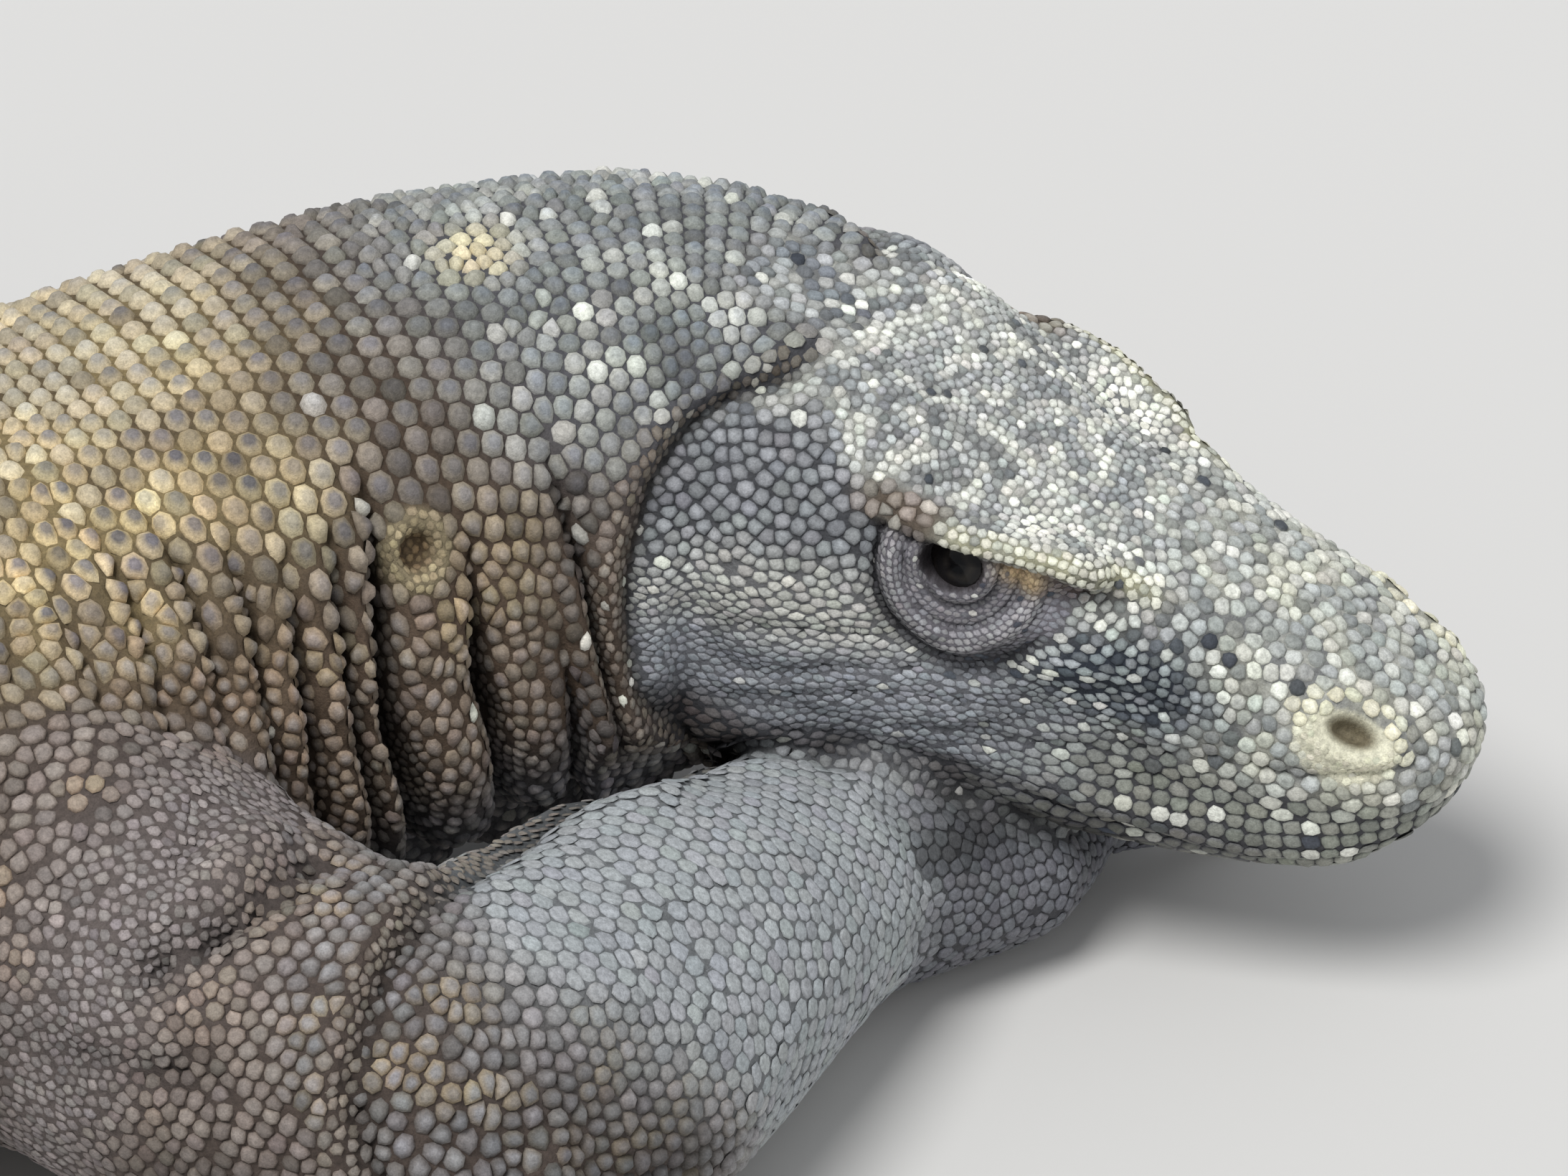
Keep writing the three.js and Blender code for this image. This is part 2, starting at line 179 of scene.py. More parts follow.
def edges_of(faces):
    """The mesh's edges, and for each face the numbers of its three: ab, bc, ca."""
    pairs = np.sort(np.concatenate([faces[:, [0, 1]], faces[:, [1, 2]], faces[:, [2, 0]]]), axis=1)
    codes = pairs[:, 0].astype(np.int64) * (faces.max() + 1) + pairs[:, 1]
    _, first, inverse = np.unique(codes, return_index=True, return_inverse=True)
    return pairs[first], inverse.reshape(3, -1).T


def divided(points, faces, chosen):
    """Cuts each edge for which chosen(edge middles, edge lengths) holds, and the triangles on it with it."""
    edges, sides = edges_of(faces)
    ends = points[edges]
    cut = chosen(ends.mean(1), np.linalg.norm(ends[:, 0] - ends[:, 1], axis=1))
    middle = np.full(len(edges), -1)
    middle[cut] = len(points) + np.arange(cut.sum())
    points = np.concatenate([points, ends.mean(1)[cut]])
    marks = middle[sides]
    count = (marks >= 0).sum(1)
    made = [faces[count == 0]]
    for turn in range(3):
        a, b, c = np.roll(faces, -turn, 1).T
        ab, bc, ca = np.roll(marks, -turn, 1).T
        one = (count == 1) & (ab >= 0)
        two = (count == 2) & (ca < 0)
        made += [np.stack(t, 1)[one] for t in ((a, ab, c), (ab, b, c))]
        made += [np.stack(t, 1)[two] for t in ((ab, b, bc), (a, ab, bc), (a, bc, c))]
    a, b, c = faces.T
    ab, bc, ca = marks.T
    made += [np.stack(t, 1)[count == 3] for t in ((a, ab, ca), (b, bc, ab), (c, ca, bc), (ab, bc, ca))]
    return points, np.concatenate(made)


def all_long(size):
    return lambda _, lengths: lengths > size


def normals_of(points, faces):
    """The way out at each point, from the areas of the faces round it."""
    a, b, c = points[faces].transpose(1, 0, 2)
    flat = np.cross(b - a, c - a)
    total = np.zeros_like(points)
    for corner in range(3):
        for k in range(3):
            total[:, k] += np.bincount(faces[:, corner], flat[:, k], len(points))
    return unit(total)


class Smoother:
    """Averages over each point's neighbours on a mesh."""

    def __init__(self, faces, count):
        edges, _ = edges_of(faces)
        self.a = np.concatenate([edges[:, 0], edges[:, 1]])
        self.b = np.concatenate([edges[:, 1], edges[:, 0]])
        self.valence = np.maximum(np.bincount(self.a, minlength=count), 1)

    def mean(self, values):
        if values.ndim == 1:
            return np.bincount(self.a, values[self.b], len(self.valence)) / self.valence
        return np.stack([self.mean(column) for column in values.T], 1)

    def soften(self, values, times, strength=0.6):
        for _ in range(times):
            values = values + strength * (self.mean(values) - values)
        return values

    def fair(self, points, times, strength):
        """Takes off facets and steps without shrinking the form."""
        strength = strength[:, None]
        for _ in range(times):
            points = points + 0.60 * strength * (self.mean(points) - points)
            points = points - 0.62 * strength * (self.mean(points) - points)
        return points


def tree_of(points, faces):
    return BVHTree.FromPolygons(points.tolist(), faces.tolist())


# ---- Shaping helpers ----

def rise(x, start, end):
    """0 before the start, 1 after the end, smooth between them."""
    t = np.clip((x - start) / (end - start), 0, 1)
    return t * t * (3 - 2 * t)


def hump(x, centre, width):
    """1 at the centre, falling away on both sides."""
    return np.exp(-((x - centre) / width) ** 2)


def window(x, start, end, soft):
    """1 between the start and the end, with soft edges."""
    return rise(x, start - soft, start + soft) * (1 - rise(x, end - soft, end + soft))


def crease(distance, width, power=1.25):
    """1 on a line, falling steeply away from it."""
    return np.exp(-(np.abs(distance) / width) ** power)


def on_line(line, x):
    """The height at x of a line given by its points."""
    return np.interp(x, *np.array(line, float).T)


def hashed(cells, seed):
    """A number from 0 to 1 for each cell, the same in every run."""
    x, y, z = np.moveaxis(cells, -1, 0)
    n = (x * 73856093) ^ (y * 19349663) ^ (z * 83492791) ^ (seed * 2654435761)
    n = (n ^ (n >> 13)) * 1274126177
    return ((n ^ (n >> 16)) & 0xFFFF) / 65535.0


def noise(points, size, seed=1):
    """Soft value noise from -1 to 1, with features about size across."""
    at = points / size
    cell = np.floor(at).astype(np.int64)
    t = at - cell
    t = t * t * (3 - 2 * t)
    total = 0
    for corner in np.ndindex(2, 2, 2):
        weight = np.prod(np.where(corner, t, 1 - t), axis=1)
        total = total + weight * hashed(cell + np.array(corner), seed)
    return 2 * total - 1


# ---- The skin's own shape, from the flesh nodes of the frame ----

CUT = 6.0  # the nodes' edges are cut down to this before they are melted together
VOXEL = 2.8  # the grain at which they melt
KEPT_FACES = 0.215  # the share of faces left where the skin has little detail
KEPT_APART = 5.0  # between the forefoot and the head that lies on it
PRESSED_WITHIN = 12.0  # the forearm is smoothed where the head is nearer than this
LID_GROWTH = 1.16  # the closed lids over the eyeball
SCALE_DEPTH = 1.2  # how deep the skin lies under the surface of the CAD


def flesh_parts():
    parts = {}
    for name in FLESH:
        points, faces = welded(*mesh_arrays(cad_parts[name].data))
        for _ in range(2):
            points, faces = divided(points, faces, all_long(CUT))
        parts[name] = [points, faces]
    return parts


def keep_arm_off_head(parts):
    """Draws the forefoot that lies under the head away from it, so that the two don't melt together."""
    trees = [tree_of(*parts[name]) for name in ("head", "lower_jaw", "neck")]
    for name in ("front_right_lower", "front_right_foot"):
        points, faces = parts[name]
        spread = Smoother(faces, len(points))
        for _ in range(4):
            push = np.zeros_like(points)
            for i, point in enumerate(points.tolist()):
                for tree in trees:
                    near, normal, _, distance = tree.find_nearest(point, KEPT_APART)
                    if near is not None:
                        push[i] += np.array(normal) * (KEPT_APART - distance)
            points = points + 0.5 * (push + spread.soften(push, 2))
            points[:, 2] = np.maximum(points[:, 2], 0)
        parts[name][0] = points


def add_lids(parts):
    """A ball a little larger than each eye, which fills its socket and stands for the closed lids."""
    for side in ("right", "left"):
        points, faces = welded(*mesh_arrays(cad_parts["eye_" + side].data))
        middle = (points.min(0) + points.max(0)) / 2
        parts["lids_" + side] = [middle + (points - middle) * LID_GROWTH, faces]


def joined(parts):
    points, faces, owners, count = [], [], [], 0
    for number, (p, f) in enumerate(parts.values()):
        points.append(p)
        faces.append(f + count)
        owners.append(np.full(len(f), number))
        count += len(p)
    return np.concatenate(points), np.concatenate(faces), np.concatenate(owners)


def modified(points, faces, weights, *changes):
    """The mesh after Blender modifiers, each given as (kind, settings)."""
    made = new_object("flesh", new_mesh("flesh", points, faces))
    if weights is not None:
        group = made.vertex_groups.new(name="kept")
        for level in np.unique(weights):
            group.add(np.flatnonzero(weights == level).tolist(), float(level), "REPLACE")
    for kind, settings in changes:
        modifier = made.modifiers.new(kind.lower(), kind)
        for key, value in settings.items():
            setattr(modifier, key, value)
    result = bpy.data.meshes.new_from_object(made.evaluated_get(bpy.context.evaluated_depsgraph_get()))
    bpy.data.objects.remove(made)
    points, faces = mesh_arrays(result)
    bpy.data.meshes.remove(result)
    return points, faces


def owners_of(points, tree, owners):
    return owners[[tree.find_nearest(point)[2] for point in points.tolist()]]


def faired(points, faces, near, head, shape):
    """The skin with facets and joins smoothed away, then drawn back to the shape that was melted."""
    spread = Smoother(faces, len(points))
    back, _, high = head_coordinates(points)
    detailed = (np.isin(near, HEAD_NODES) & (back < 160)) | np.char.endswith(near, "_foot")
    detailed = spread.soften(detailed.astype(float), 6)
    detailed *= 1 - hump(back, 84, 13) * hump(high, 31, 10)
    pressed = np.zeros(len(points))
    for i in np.flatnonzero(np.char.startswith(near, "front_right")):
        pressed[i] = head.find_nearest(points[i], PRESSED_WITHIN)[0] is not None
    pressed = spread.soften(pressed, 6)
    points = spread.fair(points, 40, pressed)
    points = spread.fair(points, 110, 1 - 0.93 * detailed * (1 - pressed))
    for _ in range(4):
        lost = np.array([shape.find_nearest(point)[0] for point in points.tolist()]) - points
        points = points + spread.soften(lost, 3)
    return points


def base_skin():
    """One closed skin over all flesh, and for each of its points the node of flesh that it covers."""
    parts = flesh_parts()
    keep_arm_off_head(parts)
    add_lids(parts)
    points, faces, owners = joined(parts)
    tree = tree_of(points, faces)
    names = np.array([name if name in FLESH else "head" for name in parts])
    node_of = lambda places: names[owners_of(places, tree, owners)]
    melted = {"mode": "VOXEL", "voxel_size": VOXEL * MM}
    points, faces = modified(points, faces, None, ("REMESH", melted))
    near = node_of(points)
    spread = Smoother(faces, len(points))
    points = spread.fair(points, 6, np.ones(len(points)))
    shape = tree_of(points, faces)
    fine = np.isin(near, HEAD_NODES + ("neck",)) | np.char.endswith(near, "_foot")
    fine = np.round(spread.soften(fine.astype(float), 8), 1)
    thinned = {"ratio": KEPT_FACES, "use_collapse_triangulate": True, "vertex_group": "kept",
               "vertex_group_factor": 60.0}
    points, faces = modified(points, faces, 1 - fine, ("DECIMATE", thinned))
    head = tree_of(*joined({name: parts[name] for name in HEAD_NODES})[:2])
    return faired(points, faces, node_of(points), head, shape), faces, node_of


# ---- Camera, light and floor ----

VIEW_AZIMUTH = -20.0
VIEW_ELEVATION = 35.0
VIEW_DISTANCE = 1.7  # metres
VIEW_WIDTH = 0.35  # what the picture spans at that distance, in metres
AIM_FROM_EYE = np.array((-25.652, 51.240, -36.807))  # from the right eye to the middle of the picture
SENSOR = 36.0


def make_camera():
    """Looks down on the head from the animal's right."""
    target = Vector((eye_of(1)[0] + AIM_FROM_EYE) * MM)
    azimuth, elevation = math.radians(VIEW_AZIMUTH), math.radians(VIEW_ELEVATION)
    level = math.cos(elevation)
    ahead = Vector((-math.sin(azimuth) * level, math.cos(azimuth) * level, -math.sin(elevation)))
    data = bpy.data.cameras.new("camera")
    data.sensor_width = SENSOR
    data.lens = SENSOR * VIEW_DISTANCE / VIEW_WIDTH
    data.clip_end = 50.0
    camera = new_object("camera", data)
    camera.location = target - ahead * VIEW_DISTANCE
    camera.rotation_euler = ahead.to_track_quat("-Z", "Y").to_euler()
    bpy.context.scene.camera = camera


def soft_light(name, way, strength, spread):
    """A distant lamp that shines along the given way, as broad as its spread in degrees."""
    data = bpy.data.lights.new(name, "SUN")
    data.energy = strength
    data.angle = math.radians(spread)
    lamp = new_object(name, data)
    lamp.rotation_euler = Vector(way).to_track_quat("-Z", "Y").to_euler()


FLOOR_HALF = 20000.0
FLOOR_DROP = 0.0005  # metres
KEY_LIGHT = ((0.9, 0.5, -2.0), 2.45, 28)  # the way it shines, strength and spread
FILL_LIGHT = ((-1.8, 1.6, -1.2), 0.33, 34)


def make_stage():
    """A plain pale floor under a soft key light, a weak fill and a pale sky."""
    half = FLOOR_HALF
    corners = np.array([(-half, -half, 0), (half, -half, 0), (half, half, 0), (-half, half, 0)])
    floor = new_object("floor", new_mesh("floor", corners, np.array([[0, 1, 2, 3]])))
    floor.location.z = -FLOOR_DROP
    material = bpy.data.materials.new("floor")
    material.use_nodes = True
    shader = material.node_tree.nodes["Principled BSDF"]
    shader.inputs["Base Color"].default_value = (0.62, 0.61, 0.59, 1)
    shader.inputs["Roughness"].default_value = 0.9
    floor.data.materials.append(material)
    world = bpy.data.worlds.new("world")
    world.use_nodes = True
    sky = world.node_tree.nodes["Background"]
    sky.inputs["Color"].default_value = (0.92, 0.95, 1.0, 1)
    sky.inputs["Strength"].default_value = 0.5
    bpy.context.scene.world = world
    soft_light("key", *KEY_LIGHT)
    soft_light("fill", *FILL_LIGHT)


# ---- Places on the head and neck ----

def eye_of(side):
    """The middle and radius of an eye, from its node."""
    node = "eye_right" if side > 0 else "eye_left"
    low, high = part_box(node)
    return np.array((low + high) / 2) / MM, (high - low).z / 2 / MM


def on_head(back, out, high):
    """The place with these head coordinates."""
    return SNOUT_TIP - back * HEAD_AHEAD - out * HEAD_LEFT + high * HEAD_CROWN


SEEN_FROM, SEEN_TO = 16, 60  # rays on to the skin start this far above a spot and reach this far


class Spot:
    """A place on the skin with flat coordinates of its own: x backwards along the body, y upwards."""

    def __init__(self, at, out, back):
        self.at = np.array(at)
        self.out = np.array(out)
        self.back = unit(back - (back @ self.out) * self.out)
        self.up = np.cross(self.back, self.out)
        self.up *= np.sign(self.up[2])

    def flat(self, points):
        """The flat coordinates of points, and their distance."""
        off = points - self.at
        return off @ self.back, off @ self.up, np.linalg.norm(off, axis=1)

    def skin_at(self, tree, x, y):
        """The place and face of the skin at x, y, in a list that is empty off the skin."""
        start = self.at + x * self.back + y * self.up + SEEN_FROM * self.out
        place, _, face, _ = tree.ray_cast(start, -self.out, SEEN_TO)
        return [] if place is None else [(place, face)]


SPINE = Axis(SPINE_PATH)
LIMBS = {leg: Axis(path) for leg, path in LEG_PATHS.items()}
EYE_FACES = (0.90, 0.42)  # how far the gap between the lids looks out and up
NOSTRIL_SPOT = (24.5, 26, 11)  # in head coordinates
EAR_SPOT = (122, 62)  # distance along the spine and angle round it


def around_spine(along, angle, reach=70):
    i = np.abs(SPINE.at - along).argmin()
    turn = math.radians(angle)
    return SPINE.points[i] + reach * (math.sin(turn) * SPINE.right[i] + math.cos(turn) * SPINE.up[i])


def spots_of(tree):
    """The eyes, nostrils and ears, by kind and side."""
    spots = {}
    for side in SIDES:
        middle, radius = eye_of(side)
        out = unit(EYE_FACES[1] * HEAD_CROWN - side * EYE_FACES[0] * HEAD_LEFT)
        spots["eye", side] = Spot(middle + radius * out, out, -HEAD_AHEAD)
        back, out, high = NOSTRIL_SPOT
        found = tree.find_nearest(on_head(back, side * out, high))
        spots["nostril", side] = Spot(*found[:2], -HEAD_AHEAD)
        along, angle = EAR_SPOT
        found = tree.find_nearest(around_spine(along, side * angle))
        spots["ear", side] = Spot(*found[:2], np.array((-1.0, 0, 0)))
    return spots


# ---- The skin's folds ----

# Folds down the sides of the neck: distance along the spine at 50, 90 and 130 degrees round from the top,
# depth, half width and the angle where they begin.
PLEATS = (
    (83, 77, 70, 9.0, 2.3, 50),
    (94, 88, 81, 9.0, 3.4, 84),
    (106, 113, 106, 14.0, 3.4, 62),
    (129, 137, 132, 15.0, 3.6, 44),
    (140, 147, 147, 10.0, 3.0, 48),
    (152, 161, 164, 10.0, 3.2, 48),
    (163, 171, 178, 7.0, 2.6, 38),
    (175, 181, 190, 5.0, 2.4, 30),
    (188, 192, 202, 4.0, 2.4, 26),
    (202, 204, 215, 3.0, 2.4, 24),
    (216, 218, 228, 2.2, 2.4, 24),
)
# The fold behind the bulge of the jaw muscle, as distance behind the snout tip and height.
COLLAR = (
    (156, 53), (164, 51), (172, 49), (178, 44), (180, 33), (179, 18), (178, 5), (175, -10), (168, -24),
    (152, -35),
)
# The same fold as heights and the distance behind the snout tip at which the neck's skin begins.
NECK_BEGINS = ((-38, 150), (-24, 167), (-10, 174), (5, 177), (18, 178), (33, 179), (45, 177), (55, 154))
TEMPLE = ((124, 33), (131, 36), (140, 43), (150, 50))
# The closed mouth, at distances behind the snout tip, as heights.
MOUTH = ((-6, -12), (-2, -17), (14, -24), (39, -30), (72, -29), (106, -24), (138, -20), (150, -19))
LIP_FOLD = ((8, 6), (16, 3), (32, -2), (50, -3), (72, -8), (92, -12))
# Where the skin of the shoulder folds over the upper arm: angle round the arm, distance down it.
SHOULDER_CREASE = ((-46, 72), (-38, 74), (-29, 77), (-21, 79), (-12, 81), (-4, 82), (9, 82), (30, 84))
PLAIN_CREASE = 80  # the same on the other legs


def to_line(x, y, line):
    """Distance from a bent line, and how far along it the nearest place is, from 0 to 1."""
    line = np.array(line, float)
    best = np.full(len(x), 1e9)
    where = np.zeros(len(x))
    count = len(line) - 1
    for i in range(count):
        a, way = line[i], line[i + 1] - line[i]
        t = np.clip(((x - a[0]) * way[0] + (y - a[1]) * way[1]) / (way @ way), 0, 1)
        distance = np.hypot(x - a[0] - t * way[0], y - a[1] - t * way[1])
        nearer = distance < best
        best = np.where(nearer, distance, best)
        where = np.where(nearer, (i + t) / count, where)
    return best, where


class Places:
    """Where each point of the skin is on the body, in the coordinates of every part."""

    def __init__(self, points, near, spread):
        share = lambda chosen, times=8: spread.soften(chosen.astype(float), times)
        self.points = points
        self.head = share(np.isin(near, HEAD_NODES), 5)
        self.foot = share(np.char.endswith(near, "_foot"), 90)
        self.spine, self.angle, self.radius, self.tailward = SPINE.coordinates(points)
        self.around = np.abs(self.angle)
        self.right = self.angle > 0
        self.back, self.out, self.high = head_coordinates(points)
        self.legs = {}
        for leg, axis in LIMBS.items():
            self.legs[leg] = (share(np.char.startswith(near, leg)), *axis.coordinates(points))
        self.leg = sum(leg[0] for leg in self.legs.values())
        self.body = np.clip(1 - self.head - self.leg, 0, 1)


def neck_folds(at):
    """How far the pleats of the neck push the skin in, full on the inside of its bend."""
    lifted = np.zeros(len(at.points))
    side = np.where(at.right, 1.0, 0.22)
    pitted = np.zeros_like(lifted)
    for near, middle, low, depth, width, start in PLEATS:
        where = np.interp(at.around, (50, 90, 130), (near, middle, low))
        where = where + 1.2 * noise(at.points, 22, 3)
        full = rise(at.around, start - 6, start + 30) * (1 - rise(at.around, 152, 176))
        wide = width * (0.6 + 0.5 * rise(at.around, start, 120))
        pitted = np.maximum(pitted, depth * full * crease((at.spine - where) / wide, 1))
    hung = window(at.spine, 60, 186, 14) * rise(at.around, 66, 96) * (1 - rise(at.around, 126, 142))
    under = window(at.spine, 104, 178, 12) * window(at.around, 139, 152, 8)
    sag = window(at.spine, 36, 190, 14) * rise(at.around, 150, 168)
    lifted = 2.6 * hung - 5.0 * under * at.right + 17.0 * sag
    lifted += 5.0 * window(at.spine, 56, 150, 16) * hump(at.around, 112, 20) * at.right
    # How much painted shade the pleats get, less low down on the neck.
    at.pit = side * rise(pitted, 1.5, 8) * (1 - at.leg) * (1 - 0.6 * rise(at.around, 96, 116))
    room = np.clip(1 - at.head + rise(at.spine, 30, 50), 0, 1)
    return side * (lifted - pitted) * room * (1 - at.leg)


def collar_folds(at, out, outside):
    """The bulge of the jaw muscle, the deep fold behind it and the lip of neck skin behind that."""
    distance, along = to_line(at.back, at.high, COLLAR)
    edge = outside * window(along, 0.04, 1.0, 0.08)
    # Where the collar fold gets painted shade.
    at.collar = edge * crease(distance, 2.2)
    yield -4.6 * edge * crease(distance, 2.4)
    behind = at.back - on_line(NECK_BEGINS, at.high)
    at.strip = edge * window(behind, 1, 8, 2)
    at.behind = rise(behind, -1.0, 1.5) * rise(out, 9, 18)
    yield 2.4 * edge * hump(behind, 7, 5)
    yield 2.6 * outside * hump(at.back, 157, 19) * hump(at.high, 18, 26) * at.head
    distance, along = to_line(at.back, at.high, TEMPLE)
    yield -1.6 * outside * at.head * crease(distance, 1.8) * window(along, 0.02, 0.98, 0.1)


def cheek_folds(at, out, outside):
    """Long wrinkles of the cheek, the full crown, and the brows, of which the left one is lower."""
    level = np.stack([at.back / 7, at.high + 0.12 * (at.back - 110), at.out / 6], 1)
    cheek = outside * window(at.back, 56, 166, 14) * window(at.high, -19, 12, 7) * at.head
    at.wrinkle = cheek * crease(noise(level, 4.2, 5), 0.20, 1.5)
    yield -1.5 * at.wrinkle
    crown = hump(at.high, 52, 15) * hump(out, 28, 22) * (at.head + hump(at.spine, 0, 34) * at.body)
    yield 4.4 * np.minimum(crown, 1) * window(at.back, 122, 178, 24)
    yield 4.2 * hump(at.back, 78, 13) * hump(at.high, 31, 8) * hump(out, 33, 9) * at.head
    yield -7.5 * hump(at.back, 88, 15) * hump(at.high, 40, 9) * hump(at.out, -31, 12) * at.head


def jaw_folds(at, out, outside):
    """The full skin under the corner of the jaw, the mouth, the jaw and the fold over the lips."""
    throat = at.head + at.body * hump(at.spine, 20, 40)
    yield 12.0 * window(at.back, 138, 196, 12) * hump(at.high, -34, 17) * throat
    gap = at.high - on_line(MOUTH, at.back)
    mouth = (1 - rise(at.back, 140, 156)) * at.head * rise(out, 0.5, 3)
    yield mouth * (-1.7 * crease(gap, 0.9, 1.6) + 0.5 * hump(gap, 3.5, 3))
    yield 3.4 * at.head * window(at.back, 6, 100, 16) * (1 - rise(at.high, -30, -12)) * rise(out, 6, 16)
    distance, along = to_line(at.back, at.high, LIP_FOLD)
    yield -1.5 * at.head * outside * crease(distance, 0.9, 1.6) * window(along, 0.03, 0.97, 0.06)


def head_folds(at, spots):
    """How far all folds of the head lift the skin."""
    lifted = np.zeros(len(at.points))
    out = np.abs(at.out)
    outside = rise(out, 12, 22)
    for folds in (collar_folds, cheek_folds, jaw_folds):
        for lift in folds(at, out, outside):
            lifted += lift
    for side in SIDES:
        lifted += eye_folds(at, spots["eye", side]) * at.head
        lifted += nostril_pit(at, spots["nostril", side]) * at.head
        lifted += ear_pit(at, spots["ear", side])
    return lifted


# Half length and half height of the gap between the lids, the nostril and the ear.
OPENING = (6.8, 5.6)
NOSTRIL = (7.4, 4.6)
EAR = (4.2, 5.0)
# In the flat coordinates of an eye: the middle of the iris, and the edge of the brow.
GAZE = (1.6, -2.0)
BROW_EDGE = (
    (-50, -1.5), (-34, 1.4), (-20, 2.8), (-12, 2.9), (-6, 2.5), (0, 1.9), (7, 1.8), (14, 2.1), (24, 3.6),
)
LID_CREASES = (9.0, 13.2, 19.6)  # distances round the eye
CRESCENT = 23.2


def below_brow(x, y):
    """Height above the edge of the brow, in the flat coordinates of an eye."""
    return y - on_line(BROW_EDGE, x)


def round_eye(x, y):
    """Distance round the eye, on which the folds of the lids are laid."""
    return np.hypot((x - 0.5) / 0.95, (y + 1.0) / 1.15)


def in_gap(x, y):
    """Less than 1 in the gap between the lids."""
    return np.hypot((x - GAZE[0] - 0.8) / OPENING[0], (y - GAZE[1]) / OPENING[1])


def eye_folds(at, spot):
    """The ledge of the brow, the rings of the lids, the gap between them and the corner of the eye."""
    x, y, distance = spot.flat(at.points)
    brow = below_brow(x, y)
    ledge = rise(x, -50, -26) * (1 - rise(x, 12, 24))
    ring = round_eye(x, y)
    first, second, third = LID_CREASES
    below = 1 - rise(brow, -1.2, 0.6)
    opening = in_gap(x, y)
    lift = 2.6 * ledge * rise(brow, -0.4, 0.9) * (1 - rise(brow, 3, 12))
    lift -= 1.5 * ledge * hump(brow, -1.4, 1.3) * rise(opening, 0.9, 1.2)
    lift += below * 0.8 * (1 - rise(ring, 14, 24))
    lift -= below * (1.3 * crease(ring - first, 0.6) + 1.3 * crease(ring - second, 0.6))
    lift += below * (1.6 * hump(ring, 17.0, 2.4) - 0.8 * crease(ring - third, 0.5))
    lift -= 3.2 * crescent_of(x, y)
    lift -= 6.5 * (1 - rise(opening, 0.90, 1.05)) * (1 - rise(brow, -0.6, 0.5))
    lift += 1.1 * below * crease(opening - 1.26, 0.18, 2)
    lift -= 1.6 * hump(x, -12.5, 4.0) * hump(y, 0.2, 2.2)
    return lift * (1 - rise(distance, 36, 52))


def round_lids(x, y):
    """Distance round the lids as a whole, which lie a little behind the eye."""
    return np.hypot((x + 2.2) / 0.92, (y - 1.5) / 1.16)


def crescent_of(x, y):
    """The deep fold round the lower lid, fullest below and behind the eye."""
    below = 1 - rise(below_brow(x, y), -1.2, 0.6)
    turn = np.arctan2(y + 2, x)
    behind = rise(-np.sin(turn) + 0.6 * np.cos(turn), -0.25, 0.3)
    wide = 1.2 + 1.2 * rise(-np.sin(turn), 0.3, 0.9)
    return below * behind * crease((round_lids(x, y) - CRESCENT) / wide, 1, 1.6)


def nostril_pit(at, spot):
    """A slanting pit with a raised rim."""
    x, y, distance = spot.flat(at.points)
    ring = np.hypot((x + 0.25 * y) / NOSTRIL[0], (y - 0.05 * x) / NOSTRIL[1])
    lift = -4.6 * (1 - rise(ring, 0.25, 1.0)) + 1.0 * crease(ring - 1.45, 0.36, 2)
    return lift * (1 - rise(distance, 12, 18))


def ear_pit(at, spot):
    """A round pit with a raised rim."""
    x, y, distance = spot.flat(at.points)
    ring = np.hypot(x / EAR[0], y / EAR[1])
    lift = -4.0 * (1 - rise(ring, 0.55, 1.1)) + 1.3 * crease(ring - 1.5, 0.4, 2)
    return lift * (1 - rise(distance, 12, 17))


def arm_folds(at, share, along, angle):
    """The full forearm, fine pleats over the shoulder and the crease of the armpit."""
    yield 3.2 * share * window(along, 140, 222, 16) * hump(angle, 42, 45)
    pleats = share * window(angle, -64, -26, 8) * window(along, 83, 99, 4)
    yield -1.2 * pleats * crease((along - 84) % 3.6 - 1.8, 0.6)
    armpit = -angle - np.interp(along, (66, 78, 91), (74, 70, 58))
    armpit = share * window(along, 56, 96, 10) * crease(armpit, 5)
    yield -4.0 * armpit
    # The armpit's crease gets painted shade too.
    at.crook = np.maximum(at.crook, 0.8 * armpit)


def limb_folds(at):
    """The fold of the body over each leg, with waves of skin before it, and knuckles on the feet."""
    lifted = np.zeros(len(at.points))
    at.crook = np.zeros(len(at.points))
    for leg, (share, along, angle, _, _) in at.legs.items():
        right = leg == "front_right"
        line = on_line(SHOULDER_CREASE, angle) if right else PLAIN_CREASE
        line = line + 1.5 * noise(at.points, 30, 7)
        crest = window(angle, -46, 22, 10) if right else 0.4 * window(np.abs(angle), -1, 80, 16)
        # Where the fold of the body over the leg gets painted shade.
        at.crook = np.maximum(at.crook, crest * crease(along - line, 2.4))
        lifted -= 7.0 * crest * crease(along - line, 2.4)
        lifted += 3.4 * crest * hump(along - line, -9, 6)
        if right:
            for lift in arm_folds(at, share, along, angle):
                lifted += lift
        waves = crease((along + 1.4 * noise(at.points, 16, 8)) % 5.2 - 2.6, 0.8, 1.5)
        lifted -= 1.7 * crest * hump(along - line, -16, 16) * waves
        knuckles = window(along, 258, 284, 8) * crease(noise(at.points * (1, 1, 0.4), 9, 9), 0.2, 1.5)
        lifted -= 0.7 * share * knuckles
    return lifted


def trunk_folds(at):
    """Soft ridges of the flanks and a slight unevenness of the whole body."""
    flank = window(at.around, 58, 140, 14) * window(at.spine, 215, 900, 30) * at.body
    ridge = 1 - np.abs(noise(at.points * (1, 0.35, 0.35), 20, 11))
    return -1.6 * flank * rise(ridge, 0.72, 1.0) + 1.0 * at.body * noise(at.points, 60, 12)


CLEARANCE = 2.2  # between two stretches of skin that face each other


